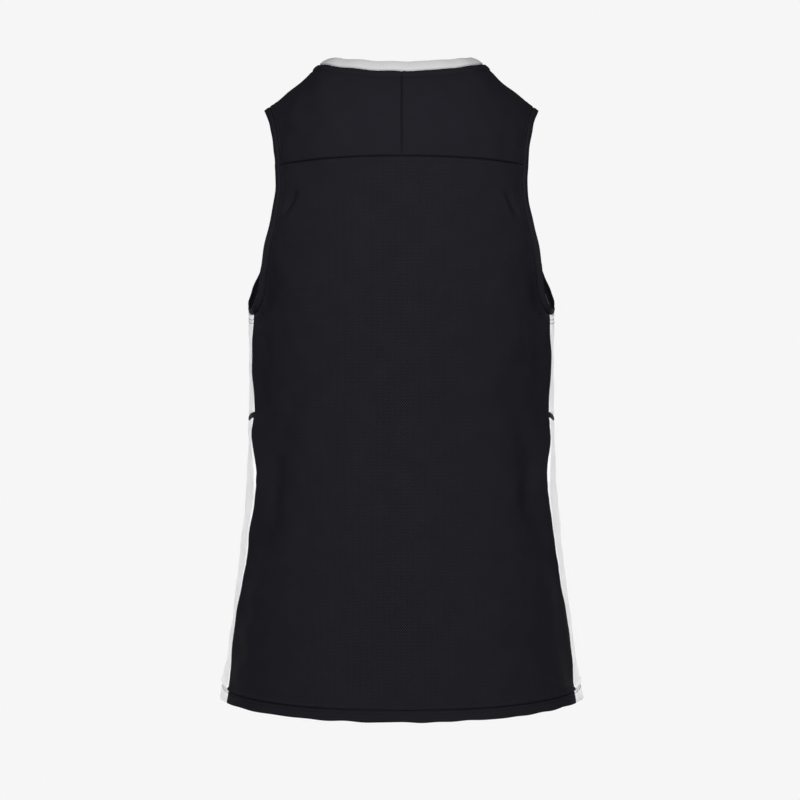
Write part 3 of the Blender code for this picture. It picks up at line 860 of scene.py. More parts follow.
def upper_columns(face):
    """Parts of the half-width above the yoke seam: fine at the centre back seam and the armhole."""
    centre = graded(HALF_NECK_LENGTH, fine_start=face == BACK) * NECK_PART
    beside = lerp(NECK_PART, 1, graded(SHOULDER_LENGTH, fine_start=True, fine_end=True))
    return np.concatenate([centre, beside[1:]]), beside


def upper_rows(face):
    """Parts of the height above the yoke seam, under and over the neckline's corner."""
    corner = NECK_CORNER_PART[face]
    under, over = UPPER_LENGTHS[face]
    low = graded(under, fine_start=face == BACK, fine_end=True) * corner
    return low, lerp(corner, 1, graded(over, fine_end=True))


def seam_lines(face):
    """Lines along the edges of the back or front.

    The neck and yoke run right across and the others are the wearer's left ones. even_line spaces
    their points evenly later.
    """
    drops, edge_y = body_drops(face)
    edge = side_point(drops, edge_y)
    on_side = drops >= seam_top_drop(face) - 1e-6
    lifts = np.linspace(0, RIGHT_ANGLE, 40)
    over = arch(armhole_x(face, lifts), face, lifts)[1:]
    x, lift = neckline(face, np.linspace(-RIGHT_ANGLE, RIGHT_ANGLE, 120))
    yoke_turn = turn_at(YOKE_DROP, armhole_y(face, YOKE_DROP))
    yoke_turns = lerp(CENTRE_TURN[face], yoke_turn, np.linspace(-1, 1, 90))
    tip = np.linspace(NECK_HALF_WIDTH, SHOULDER_SEAM_END, 30)
    return {
        "side": edge[on_side],
        "armhole": np.concatenate([edge[on_side][-1:], edge[~on_side], over]),
        "neck": arch(x, face, lift),
        "yoke": ring(YOKE_DROP, yoke_turns),
        "shoulder": arch(tip, face, RIGHT_ANGLE),
        "centre": arch(0.0, face, np.linspace(0, float(neckline(face, 0.0)[1]), 40)),
    }


# ---- Side panels ----

def across_side(drops, parts):
    """y across a side panel, at parts from its back seam to its front one, met at these drops."""
    back, front = (side_seam_y(face, drops[face]) for face in (BACK, FRONT))
    return lerp(back, front, parts)


def side_patch(side, ends, columns, drops=None):
    """Rows of a side panel, straight between their ends at both seams unless drops says otherwise."""
    ends = {face: end[:, None] for face, end in ends.items()}
    if drops is None:
        drops = lerp(ends[BACK], ends[FRONT], columns)
    turns = turn_at(drops, across_side(ends, columns)) * side
    points = ring(drops, turns)
    flat = np.stack([row_lengths(points), drops], -1)
    return turns, drops, Patch(points, flat)


def side_top(columns):
    """The drop of a side panel's armhole edge, and y along it."""
    y = across_side(dict.fromkeys((BACK, FRONT), SIDE_SEAM_TOP), columns)
    return armhole_drop(FRONT, y), y


def strip_edge(share):
    """The drops of the strip's ends, at a share of its width under its middle."""
    return {face: drop + STRIP_WIDTH * share for face, drop in STRIP_DROP.items()}


def side_lines(side):
    """The lines round a side panel: both seams, the strip's edges and the armhole."""
    lines = {}
    for word, face in FACES.items():
        drops = np.linspace(HEM_DROP, seam_top_drop(face), 200)
        lines[word] = side_point(drops, side_seam_y(face, drops), side)
    part = np.linspace(0, 1, 40)
    for name, share in (("strip_low", 0.5), ("strip_high", -0.5)):
        ends = strip_edge(share)
        y = across_side(ends, part)
        drop = lerp(ends[BACK], ends[FRONT], part)
        lines[name] = side_point(drop, y, side)
    drop, y = side_top(part)
    lines["armhole"] = side_point(drop, y, side)
    return lines


# ---- Bands ----

BAND_LAYER_GAP = 1.2
BAND_FOLD_STEPS = 5
BAND_STEP = 1.9
NECK_BAND_DIP = 3.2
ARMHOLE_BAND_DIP = 1.9
BAND_DIP_REACH = 1.1
BAND_TUCK_SLOPE = 0.6
BAND_LOW_ROWS = (-1.6, -0.8, 0.0, 0.6, 1.2, 2.0, 3.0)
BAND_HIGH_ROWS_START = 4.2
BAND_HIGH_ROWS = 8
BAND_SMOOTHING = 8
BAND_MIDDLE_STEP = 4
INWARD_SMOOTHING = 6
# An armhole band stands out from this far behind the shoulder plane, and fully this much further back.
BAND_STAND_START = 15
BAND_STAND_FADE = 40


def arch_normals(x, face, lift):
    """Outward directions above the yoke seam."""
    across = arch(x + 0.5, face, lift) - arch(x - 0.5, face, lift)
    up = arch(x, face, lift + STEP) - arch(x, face, lift - STEP)
    return np.cross(across, up) * -face


def joined_line(stretches):
    """One line from stretches of points with their outward directions."""
    points, normals = (np.concatenate(column) for column in zip(*stretches))
    return points, unit(normals)


def armhole_line(side):
    """Points and outward normals round one armhole seam, from the shoulder down the back."""

    def over(face, lifts):
        x = armhole_x(face, lifts) * side
        return arch(x, face, lifts), arch_normals(x, face, lifts)

    def round_body(drops, y):
        turn = turn_at(drops, y) * side
        points = ring(drops, turn)
        around = ring(drops, turn + STEP) - ring(drops, turn - STEP)
        return points, np.cross(around, ring(drops + 1, turn) - points)

    def lower(face, start, end, count):
        angles = np.linspace(start, end, count)
        drops = ARMHOLE_WIDEST_DROP + depth * np.sin(angles)[1:]
        return round_body(drops, armhole_y(face, drops))

    depth = ARMHOLE_LOWEST_DROP - ARMHOLE_WIDEST_DROP
    lifts = np.linspace(RIGHT_ANGLE, 0, 60)
    high = np.linspace(YOKE_DROP, ARMHOLE_WIDEST_DROP, 40)
    upward = high[::-1][1:]
    under = np.linspace(ARMHOLE_LOWEST_Y, side_seam_y(FRONT, SIDE_SEAM_TOP), 50)[1:]
    start = math.asin((seam_top_drop(FRONT) - ARMHOLE_WIDEST_DROP) / depth)
    return joined_line([
        over(BACK, lifts[:-1]),
        round_body(high, armhole_y(BACK, high)),
        lower(BACK, 0, RIGHT_ANGLE, 60),
        round_body(armhole_drop(FRONT, under), under),
        lower(FRONT, start, 0, 50),
        round_body(upward, armhole_y(FRONT, upward)),
        over(FRONT, lifts[::-1][1:-1]),
    ])


def neck_line():
    """Points and outward normals round the neckline, across the back and then the front."""
    stretches = []
    for face in (BACK, FRONT):
        x, lift = neckline(face, np.linspace(RIGHT_ANGLE, -RIGHT_ANGLE, 160)[:-1] * face)
        normals = arch_normals(x, face, np.minimum(lift, RIGHT_ANGLE - STEP))
        stretches.append((arch(x, face, lift), normals))
    return joined_line(stretches)


def even_loop(points, normals, step):
    """A closed line with its normals at even steps, and its length."""
    points = closed(points)
    lengths = line_lengths(points)
    along = np.linspace(0, lengths[-1], round(lengths[-1] / step) + 1)[:-1]
    normals = at_lengths(along, lengths, closed(normals))
    return at_lengths(along, lengths, points), unit(normals), lengths[-1]


Band = namedtuple("Band", "width dip angle_at")


def band_patch(points, normals, length, band, centre):
    """A band folded double: up from its seam, over its folded edge and down the inside."""
    inward = unit(np.cross(loop_ahead(points), normals))
    inward[(inward * (np.array(centre) - points)).sum(1) < 0] *= -1
    inward = unit(smooth_loop(inward, INWARD_SMOOTHING))
    half = BAND_LAYER_GAP / 2
    high_rows = np.linspace(BAND_HIGH_ROWS_START, band.width - half, BAND_HIGH_ROWS)
    rows_up = np.concatenate([BAND_LOW_ROWS, high_rows])
    place = points.copy()
    outer = []
    inner = []
    before = 0.0
    # A band lies flatter over the shoulder seams.
    over = (np.abs(points[:, 1]) < SEAM_END_LENGTH) & (points[:, 2] > -YOKE_DROP)
    share = np.where(over, np.abs(points[:, 1]) / SEAM_END_LENGTH, 1.0)[:, None]
    deepest = band.dip * lerp(SEAM_END_SHARE, 1, share)
    for at in rows_up:
        angle = band.angle_at(points, max(before + at, 0) / 2 / band.width)[:, None]
        along = inward * np.cos(angle) + normals * np.sin(angle)
        across = normals * np.cos(angle) - inward * np.sin(angle)
        place = place + along * (at - before)
        dip = deepest * math.exp(-((max(at, 0) / BAND_DIP_REACH) ** 2))
        dip = dip + BAND_TUCK_SLOPE * max(-at, 0)
        outer.append(place + across * (half - dip))
        inner.append(place - across * (half + dip / 2))
        before = at
    fold = []
    for angle in np.linspace(0, math.pi, BAND_FOLD_STEPS + 2)[1:-1]:
        fold.append(place + along * half * math.sin(angle) + across * half * math.cos(angle))
    grid = np.stack(outer + fold + inner[::-1])
    grid = np.concatenate([grid, grid[:, :1]], 1)
    down = np.linalg.norm(np.diff(grid, axis=0), axis=2).mean(1)
    down = np.broadcast_to(np.r_[0, down.cumsum()][:, None], grid.shape[:2])
    across = np.broadcast_to(np.linspace(0, length, grid.shape[1]), grid.shape[:2])
    return Patch(grid, np.stack([across, down], -1))


def neck_band_angle(stations, part):
    """How far the neck band stands up from the form at each station, more at its foot."""
    lift, roll = NECK_BAND_STAND(stations[:, 1])
    return np.radians(lift + roll * (1 - 2 * part))


def armhole_band_angle(stations, part):
    """How far an armhole band stands out from the form at each station, all across it."""
    back = np.clip((stations[:, 1] - BAND_STAND_START) / BAND_STAND_FADE, 0, 1)
    return np.radians(ARMHOLE_BAND_STAND(-stations[:, 2])[0] * back)


NECK_BAND = Band(NECK_BAND_HEIGHT, NECK_BAND_DIP, neck_band_angle)
ARMHOLE_BAND = Band(ARMHOLE_BAND_WIDTH, ARMHOLE_BAND_DIP, armhole_band_angle)


def outward_of_band(band):
    """Outward directions for a folded band: away from the middle of its own cross-section."""
    middle = band.points[:, :-1].mean(0)[::BAND_MIDDLE_STEP]

    def outward(points):
        nearest = ((points[:, None] - middle[None]) ** 2).sum(2).argmin(1)
        return points - middle[nearest]

    return outward


def add_band(context, node, line, band, centre, material):
    """Adds a band round a closed line of points and normals."""
    points, normals, length = even_loop(*line, BAND_STEP)
    normals = unit(smooth_loop(normals, BAND_SMOOTHING))
    strength = context.scene.jersey_sizes.crease_strength
    points = points + normals * crease_height(points, strength)[:, None]
    patch = band_patch(points, normals, length, band, centre)
    add_piece(context, node, Cloth([patch], outward_of_band(patch)), material)


# ---- Shader maths ----

class Value:
    """A socket whose value varies over the surface, with arithmetic that adds Math nodes."""

    def __init__(self, graph, socket):
        self.graph = graph
        self.socket = socket

    def __add__(self, other):
        return self.graph.math("ADD", self, other)

    def __sub__(self, other):
        return self.graph.math("SUBTRACT", self, other)

    def __rsub__(self, other):
        return self.graph.math("SUBTRACT", other, self)

    def __mul__(self, other):
        return self.graph.math("MULTIPLY", self, other)

    __radd__ = __add__
    __rmul__ = __mul__

    def cosine(self):
        return self.graph.math("COSINE", self)

    def wave(self):
        """From 0 to 1, as the cosine goes."""
        return self.cosine() * 0.5 + 0.5

    def step(self, low, high):
        """0 under low, 1 over high, and smooth between."""
        values = {"Value": self, "From Min": low, "From Max": high}
        return self.graph.node("ShaderNodeMapRange", {"interpolation_type": "SMOOTHSTEP"}, values)


class Graph:
    """A material's nodes."""

    def __init__(self, material):
        material.use_nodes = True
        self.tree = material.node_tree
        self.shader = self.tree.nodes["Principled BSDF"]

    def node(self, kind, settings, inputs, output=0):
        made = self.tree.nodes.new(kind)
        for name, value in settings.items():
            setattr(made, name, value)
        self.feed(made, inputs)
        return Value(self, made.outputs[output])

    def feed(self, node, inputs):
        for name, value in inputs.items():
            if isinstance(value, Value):
                self.tree.links.new(value.socket, node.inputs[name])
            else:
                node.inputs[name].default_value = value

    def math(self, operation, *values):
        return self.node("ShaderNodeMath", {"operation": operation}, dict(enumerate(values)))

    def flat_place(self):
        """The place in the flat cloth, across and down it, in millimetres."""
        flat = self.node("ShaderNodeUVMap", {"uv_map": UV_NAME}, {})
        scaled = self.node("ShaderNodeVectorMath", {"operation": "SCALE"}, {0: flat, "Scale": 1 / MM})
        across = self.node("ShaderNodeSeparateXYZ", {}, {0: scaled})
        down = Value(self, across.socket.node.outputs["Y"])
        return scaled, across, down

    def mix(self, factor, first, second, blend="MIX"):
        settings = {"data_type": "RGBA", "blend_type": blend}
        return self.node("ShaderNodeMix", settings, {0: factor, 6: first, 7: second}, output=2)

    def bump(self, distance, height):
        values = {"Strength": 1.0, "Distance": distance * MM, "Height": height}
        return self.node("ShaderNodeBump", {}, values)


def shade(colour, factor):
    return tuple(min(channel * factor, 1.0) for channel in colour[:3]) + (1.0,)


# Knit patterns: lengths in millimetres.
EYELET_PITCH = 2.6
EYELET_ROW_PITCH = 3.0
LOOP_PITCH = 0.62
LOOP_COURSE = 0.85
RIB_PITCH = 1.5
LOOP_SWAY = 0.9
EYELET_EDGES = (0.12, 0.62)
# The loops' height beside the eyelets' depth, and how much smoother loops and rougher eyelets are.
LOOP_HEIGHT = 0.3
LOOP_GLOSS = 0.06
EYELET_DULLNESS = 0.12
# Mottling: patches to a millimetre, detail, and the noise values where they begin and end.
MOTTLE_SCALE = 0.035
MOTTLE_DETAIL = 3.0
MOTTLE_EDGES = (0.3, 0.7)


def knit_loops(across, down):
    """The fine columns of knitted loops, from 0 in the grooves to 1 on the loops."""
    sway = (down * (math.tau / LOOP_COURSE)).cosine() * LOOP_SWAY
    return (across * (math.tau / LOOP_PITCH) + sway).wave()


def eyelets(across, down):
    """Staggered rows of small round openings, 1 in each."""
    waves = (across * (math.tau / EYELET_PITCH)).cosine()
    waves = waves * (down * (math.tau / EYELET_ROW_PITCH)).cosine()
    return waves.step(*EYELET_EDGES)


# How a knit looks: roughness, shine, fuzz, how dark its eyelets are painted (the dark inside seen
# through them, with painted shade), how dark its grooves are painted (painted shade), its mottling and
# its relief.
Knit = namedtuple("Knit", "roughness specular sheen eyelet groove mottle relief")
KNITS = {
    "black_mesh_knit": Knit(0.92, 0.02, 0.0, 0.05, 0.80, 0.08, 0.30),
    "black_smooth_knit": Knit(0.92, 0.02, 0.0, 1.0, 0.84, 0.05, 0.05),
    "white_mesh_knit": Knit(0.75, 0.20, 0.03, 0.80, 0.95, 0.03, 0.14),
    "white_rib_knit": Knit(0.80, 0.20, 0.03, 1.0, 0.90, 0.03, 0.16),
}


def knit_material(context, name):
    """A knit in its own colour, with eyelets where it is a mesh and ribs where it is a rib."""
    looks = name + "_looks"
    if looks in bpy.data.materials:
        return bpy.data.materials[looks]
    knit = KNITS[name]
    colour = getattr(context.scene.jersey_colours, name.removesuffix("_knit"))
    material = bpy.data.materials.new(looks)
    graph = Graph(material)
    place, across, down = graph.flat_place()
    if name == "white_rib_knit":
        fine = (across * (math.tau / RIB_PITCH)).wave()
    else:
        fine = knit_loops(across, down)
    height = fine * LOOP_HEIGHT
    # The grooves between loops and between ribs are painted darker: painted shade.
    cloth = graph.mix(fine, shade(colour, knit.groove), shade(colour, 1.0))
    roughness = fine * -LOOP_GLOSS + knit.roughness + LOOP_GLOSS / 2
    if "mesh" in name:
        holes = eyelets(across, down)
        # The eyelets are painted darker: the dark inside seen through them, and painted shade.
        cloth = graph.mix(holes, cloth, shade(colour, knit.eyelet))
        height = height - holes
        roughness = roughness + holes * EYELET_DULLNESS
    values = {"Vector": place, "Scale": MOTTLE_SCALE, "Detail": MOTTLE_DETAIL}
    patches = graph.node("ShaderNodeTexNoise", {}, values).step(*MOTTLE_EDGES)
    darkest = shade((1 - knit.mottle,) * 3, 1.0)
    values = {
        "Base Color": graph.mix(patches, cloth, darkest, "MULTIPLY"),
        "Roughness": roughness,
        "Normal": graph.bump(knit.relief, height),
        "Specular IOR Level": knit.specular,
        "Sheen Weight": knit.sheen,
        "Sheen Roughness": 0.5,
    }
    graph.feed(graph.shader, values)
    return material


# Sewing thread: radians of its twist to a millimetre across and down it, relief, and how dark its
# grooves are painted, as painted shade.
THREAD_TWIST = (9.0, 6.0)
THREAD_RELIEF = 0.05
THREAD_GROOVE_SHADE = 0.7


def thread_material(context):
    """Sewing thread, twisted of two strands."""
    found = bpy.data.materials.get("sewing_thread")
    if found:
        return found
    colour = context.scene.jersey_colours.thread
    material = bpy.data.materials.new("sewing_thread")
    graph = Graph(material)
    _, across, down = graph.flat_place()
    turn_across, turn_down = THREAD_TWIST
    twist = (across * turn_across + down * turn_down).wave()
    # The grooves between the two strands are painted darker: painted shade.
    values = {
        "Base Color": graph.mix(twist, shade(colour, THREAD_GROOVE_SHADE), shade(colour, 1.0)),
        "Roughness": 0.85,
        "Normal": graph.bump(THREAD_RELIEF, twist),
        "Specular IOR Level": 0.05,
    }
    graph.feed(graph.shader, values)
    return material


# ---- Stitches ----

THREAD_SIDES = 6
STITCH_RINGS = 5
# The part of its pitch that a stitch fills. In radii, how high its middle lies and how far its ends go
# down, and the part of its thickness that they lose.
STITCH_FILL = 0.8
STITCH_LIFT = 0.7
STITCH_SINK = 2.2
STITCH_TAPER = 0.45
STITCH_LINE_STEP = 1.0
HEM_LINE_POINTS = 1200
ROW_SMOOTHING = 6
OFFSET_SMOOTHING = 12
# Stitches are laid on the cloth by a ray from this far outside it, of this length.
RAY_START = 12
RAY_LENGTH = 30


def tube_faces(at):
    """Faces between the rows of a grid of indices, each row closed."""
    ahead = np.roll(at, -1, 1)
    return np.stack([at[:-1], ahead[:-1], ahead[1:], at[1:]], -1).reshape(-1, 4)


def stitch_mesh(name, line, normals, pitch, radius):
    """Short lengths of thread along a line, whose ends go down into the cloth."""
    lengths = line_lengths(line)
    count = int(lengths[-1] / pitch)
    rings = np.linspace(-0.5, 0.5, STITCH_RINGS)
    at = (np.arange(count)[:, None] + 0.5 + rings * STITCH_FILL) * (lengths[-1] / count)
    centre = at_lengths(at, lengths, line)
    normal = unit(at_lengths(at, lengths, normals))
    side = np.cross(unit(np.gradient(centre, axis=1)), normal)
    sink = (2 * np.abs(rings)) ** 3
    centre = centre + normal * (radius * (STITCH_LIFT - STITCH_SINK * sink))[None, :, None]
    size = radius * (1 - STITCH_TAPER * sink)[None, :, None, None]
    angle = np.linspace(0, math.tau, THREAD_SIDES, endpoint=False)[None, None, :, None]
    around = side[:, :, None] * np.cos(angle) + normal[:, :, None] * np.sin(angle)
    points = centre[:, :, None] + around * size
    one = np.arange(STITCH_RINGS * THREAD_SIDES).reshape(STITCH_RINGS, THREAD_SIDES)
    start = np.arange(count)[:, None, None] * one.size
    faces = (tube_faces(one) + start).reshape(-1, 4)
    ends = (np.stack([one[0][::-1], one[-1]]) + start).reshape(-1, THREAD_SIDES)
    mesh = bpy.data.meshes.new(name)
    every = faces.tolist() + ends.tolist()
    mesh.from_pydata((points.reshape(-1, 3) * MM).tolist(), [], every)
    flat = np.stack(np.broadcast_arrays(at[:, :, None], angle[..., 0] * radius), -1).reshape(-1, 2)
    corners = np.empty(len(mesh.loops), np.int32)
    mesh.loops.foreach_get("vertex_index", corners)
    set_flat(mesh, flat[corners])
    mesh.shade_smooth()
    return mesh


def cloth_surface(context):
    """The outer side of all cloth pieces, to lay thread on."""
    points = []
    faces = []
    start = 0
    for piece in context.scene.objects:
        if piece.get("jersey_cloth"):
            count = len(piece.data.vertices)
            found = np.empty(count * 3, np.float32)
            piece.data.vertices.foreach_get("co", found)
            corners = np.empty(len(piece.data.polygons) * 4, np.int32)
            piece.data.polygons.foreach_get("vertices", corners)
            points.append(found.reshape(-1, 3) / MM)
            faces.append(corners.reshape(-1, 4) + start)
            start += count
    if not points:
        raise RuntimeError("make the cloth pieces before the stitching")
    return BVHTree.FromPolygons(np.concatenate(points).tolist(), np.concatenate(faces).tolist())


def laid_on(surface, line, normals, above):
    """The line moved along its normals onto the cloth, and above it by half the cloth's wall."""
    laid = []
    for point, normal in zip(line, normals):
        start = Vector(point) + Vector(normal) * RAY_START
        hit, _, _, _ = surface.ray_cast(start, -Vector(normal), RAY_LENGTH)
        laid.append(point if hit is None else np.array(hit) + normal * above)
    return np.array(laid)


def offset_row(points, normals, centre, offset):
    """A row of stitches on the panels, beside a band's seam and away from its opening."""
    normals = unit(smooth_loop(normals, OFFSET_SMOOTHING))
    outward = unit(np.cross(loop_ahead(points), normals))
    outward = unit(smooth_loop(outward, OFFSET_SMOOTHING))
    outward[(outward * (np.array(centre) - points)).sum(1) > 0] *= -1
    return points + outward * offset, normals


def add_stitches(context, name, mesh):
    mesh.materials.append(thread_material(context))
    piece = add_object(context, name, mesh)
    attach(piece, BODY_NAME)


# ---- Settings ----

class JerseySizes(bpy.types.PropertyGroup):
    cloth_thickness: bpy.props.FloatProperty(
        name="Cloth thickness",
        description="Thickness of one layer of knit",
        default=0.8 * MM,
        min=0.2 * MM,
        max=2 * MM,
        unit="LENGTH",
    )
    crease_strength: bpy.props.FloatProperty(
        name="Crease strength",
        description="How deep the creases are, where 1 is as photographed",
        default=1.0,
        min=0.0,
        max=3.0,
    )
    stitch_pitch: bpy.props.FloatProperty(
        name="Stitch pitch",
        description="Distance from one stitch to the next",
        default=2.8 * MM,
        min=1 * MM,
        max=8 * MM,
        unit="LENGTH",
    )
    thread_diameter: bpy.props.FloatProperty(
        name="Thread diameter",
        description="Thickness of the sewing thread",
        default=0.55 * MM,
        min=0.1 * MM,
        max=2 * MM,
        unit="LENGTH",
    )


class JerseyColours(bpy.types.PropertyGroup):
    black_mesh: bpy.props.FloatVectorProperty(
        name="Black mesh",
        description="Colour of the back and front panels",
        subtype="COLOR",
        default=(0.0166, 0.0157, 0.0200),
    )
    black_smooth: bpy.props.FloatVectorProperty(
        name="Black knit",
        description="Colour of the yoke, the side strips and the armhole bands",
        subtype="COLOR",
        default=(0.0112, 0.0106, 0.0140),
    )
    white_mesh: bpy.props.FloatVectorProperty(
        name="White mesh",
        description="Colour of the side panels",
        subtype="COLOR",
        default=(0.88, 0.88, 0.89),
    )
    # The neck band's rib is white, but its colour is darkened to a mid-grey: painted shade.
    white_rib: bpy.props.FloatVectorProperty(
        name="White rib",
        description="Colour of the neck band",
        subtype="COLOR",
        default=(0.45, 0.45, 0.46),
    )
    thread: bpy.props.FloatVectorProperty(
        name="Thread",
        description="Colour of the sewing thread",
        subtype="COLOR",
        default=(0.008, 0.008, 0.009),
    )


# ---- Operators ----

PANELS = ["back_panel", "front_panel"]


class JERSEY_OT_yokes(bpy.types.Operator):
    """Make the two halves of the back yoke"""

    bl_idname = "jersey.yokes"
    bl_label = "Back yoke"

    def execute(self, context):
        material = knit_material(context, "black_smooth_knit")
        columns, beside = upper_columns(BACK)
        low_rows, high_rows = upper_rows(BACK)
        lines = seam_lines(BACK)
        for word, side in SIDES.items():
            low = upper_patch(BACK, low_rows, columns * side)
            high = upper_patch(BACK, high_rows, beside * side)
            seams = [
                (lines["yoke"], YOKE_SEAM_ABOVE),
                (lines["centre"], CENTRE_SEAM_FLAT if side > 0 else CENTRE_SEAM_FULL),
                (lines["neck"], NECK_SEAM),
                *seams_of_side(lines, side, {"armhole": ARMHOLE_SEAM, "shoulder": SHOULDER_SEAM}),
            ]
            add_panel(context, f"back_yoke_{word}", [low, high], material, seams)
        return {"FINISHED"}


class JERSEY_OT_back(bpy.types.Operator):
    """Make the back panel with its turned-up hem"""

    bl_idname = "jersey.back"
    bl_label = "Back panel"

    def execute(self, context):
        material = knit_material(context, "black_mesh_knit")
        patches = body_patches(BACK, graded(HALF_BACK_LENGTH, fine_end=True))
        lines = seam_lines(BACK)
        seams = [(lines["yoke"], YOKE_SEAM_BELOW)]
        for side in SIDES.values():
            seams += seams_of_side(lines, side, {"side": PANEL_SEAM, "armhole": ARMHOLE_SEAM})
        add_panel(context, "back_panel", patches, material, seams)
        return {"FINISHED"}


class JERSEY_OT_front(bpy.types.Operator):
    """Make the front panel, up to the shoulder seams"""

    bl_idname = "jersey.front"
    bl_label = "Front panel"

    def execute(self, context):
        material = knit_material(context, "black_mesh_knit")
        columns, beside = upper_columns(FRONT)
        low_rows, high_rows = upper_rows(FRONT)
        patches = [
            *body_patches(FRONT, columns),
            upper_patch(FRONT, low_rows, both_halves(columns)),
            upper_patch(FRONT, high_rows, beside),
            upper_patch(FRONT, high_rows, -beside[::-1]),
        ]
        lines = seam_lines(FRONT)
        sewn = {"side": PANEL_SEAM, "armhole": ARMHOLE_SEAM, "shoulder": SHOULDER_SEAM}
        seams = [(lines["neck"], NECK_SEAM)]
        for side in SIDES.values():
            seams += seams_of_side(lines, side, sewn)
        add_panel(context, "front_panel", patches, material, seams)
        return {"FINISHED"}


class JERSEY_OT_sides(bpy.types.Operator):
    """Make both side panels, each in two parts with the strip between them"""

    bl_idname = "jersey.sides"
    bl_label = "Side panels"

    def execute(self, context):
        white = knit_material(context, "white_mesh_knit")
        black = knit_material(context, "black_smooth_knit")
        columns = graded(SIDE_WIDTH, fine_start=True, fine_end=True)
        low, high = strip_edge(0.5), strip_edge(-0.5)
        fine = np.arange(HEM_EDGE_DROP, HEM_FINE_TOP, -HEM_FINE_STEP)
        rest = graded(HEM_FINE_TOP - STRIP_DROP[BACK], fine_end=True)
        below = {face: np.concatenate([fine, lerp(HEM_FINE_TOP, low[face], rest)]) for face in low}
        parts = np.linspace(0, 1, STRIP_ROWS)
        between = {face: lerp(low[face], high[face], parts) for face in low}
        parts = graded(SIDE_UPPER_LENGTH, fine_start=True, fine_end=True)
        above = {face: lerp(high[face], seam_top_drop(face), parts) for face in low}
        foot = lerp(high[BACK], high[FRONT], columns)
        above_drops = lerp(foot, side_top(columns)[0], parts[:, None])
        low_seam, high_seam = {"strip_low": STRIP_SEAM}, {"strip_high": STRIP_SEAM}
        armhole = {"armhole": ARMHOLE_SEAM}
        for word, side in SIDES.items():
            turns, drops, lower = side_patch(side, below, columns)
            lower.shift = hem_relief(turns, HEM_DROP - drops)
            hem = hem_patch(turns[0], lower.flat[0, :, 0])
            hem.shift[-1] = lower.shift[0]
            strip = side_patch(side, between, columns)[-1]
            upper = side_patch(side, above, columns, above_drops)[-1]
            lines = side_lines(side)
            for part, patches, material, edges, rests_on in (
                ("lower", [lower, hem], white, low_seam, [f"side_strip_{word}"]),
                ("strip", [strip], black, {**low_seam, **high_seam}, [f"side_upper_{word}"]),
                ("upper", [upper], white, {**high_seam, **armhole}, PANELS),
            ):
                sewn = {"back": PANEL_SEAM, "front": PANEL_SEAM, **edges}
                seams = [(lines[name], seam) for name, seam in sewn.items()]
                add_panel(context, f"side_{part}_{word}", patches, material, seams)
        return {"FINISHED"}


class JERSEY_OT_neck_band(bpy.types.Operator):
    """Make the neck band, folded double"""

    bl_idname = "jersey.neck_band"
    bl_label = "Neck band"

    def execute(self, context):
        material = knit_material(context, "white_rib_knit")
        add_band(context, "neck_band", neck_line(), NECK_BAND, NECK_CENTRE, material)
        return {"FINISHED"}


class JERSEY_OT_armhole_bands(bpy.types.Operator):
    """Make the two armhole bands, folded double"""

    bl_idname = "jersey.armhole_bands"
    bl_label = "Armhole bands"

    def execute(self, context):
        material = knit_material(context, "black_smooth_knit")
        for word, side in SIDES.items():
            node = f"armhole_band_{word}"
            line = armhole_line(side)
            centre = np.array(ARMHOLE_CENTRE) * (side, 1, 1)
            add_band(context, node, line, ARMHOLE_BAND, centre, material)
        return {"FINISHED"}


class JERSEY_OT_stitching(bpy.types.Operator):
    """Sew the rows of stitches at the neck, the armholes and the hem"""

    bl_idname = "jersey.stitching"
    bl_label = "Stitching"

    def execute(self, context):
        sizes = context.scene.jersey_sizes
        radius = sizes.thread_diameter / 2 / MM
        pitch = sizes.stitch_pitch / MM
        above = sizes.cloth_thickness / 2 / MM
        surface = cloth_surface(context)

        def sew(name, line, normals):
            line = smooth_loop(laid_on(surface, line, normals, above), ROW_SMOOTHING)
            mesh = stitch_mesh(name, closed(line), closed(normals), pitch, radius)
            add_stitches(context, name, mesh)

        openings = [("neck_stitches", neck_line(), NECK_CENTRE, NECK_ROWS)]
        for word, side in SIDES.items():
            centre = np.array(ARMHOLE_CENTRE) * (side, 1, 1)
            openings.append((f"armhole_stitches_{word}", armhole_line(side), centre, ARMHOLE_ROWS))
        for name, line, centre, rows in openings:
            points, normals, _ = even_loop(*line, STITCH_LINE_STEP)
            for count, offset in enumerate(rows, 1):
                sew(f"{name}_{count}", *offset_row(points, normals, centre, offset))
        turns = np.linspace(-math.pi, math.pi, HEM_LINE_POINTS)[:-1]
        for count, lower in enumerate((0.0, HEM_ROW_GAP), 1):
            drops = HEM_DROP - hem_row_height(turns) + lower
            around = ring(drops, turns + STEP) - ring(drops, turns - STEP)
            down = ring(drops + 1, turns) - ring(drops - 1, turns)
            sew(f"hem_stitches_{count}", ring(drops, turns), unit(np.cross(around, down)))
        return {"FINISHED"}


# ---- Stage ----

PHOTO_DISTANCE = 2.22
PHOTO_X = 0.0017
PHOTO_HEIGHT = -0.3833
LENS = 86.87
SENSOR = 36.0
BACKDROP_GREY = 0.9216
BACKDROP_RADIUS = 14.0
FLOOR_HEIGHT = -1.3
FLOOR_RADIUS = 2.1
FLOOR_FADE_START = 0.8
FLOOR_FADE_END = 0.98 * FLOOR_RADIUS
FLOOR_GREY = (0.66, 0.66, 0.66, 1)
FLOOR_CORNERS = 96
AMBIENT = 0.1
BACKDROP_RINGS = 16
BACKDROP_CORNERS = 32
# Soft lights: place, what each points at, width, height and power in watts.
SoftLight = namedtuple("SoftLight", "name place target width height power")
LIGHTS = (
    SoftLight("key_light", (0.0, 2.4, 0.7), (0, 0, -0.35), 0.8, 0.6, 90),
    SoftLight("left_fill_light", (1.7, -1.95, -0.6), (0, 0, -0.4), 0.8, 1.2, 53),
    SoftLight("right_fill_light", (-1.7, -1.95, -0.6), (0, 0, -0.4), 0.8, 1.2, 53),
    SoftLight("front_fill_light", (0.0, -2.5, -0.2), (0, 0, -0.35), 1.4, 0.5, 34),
)


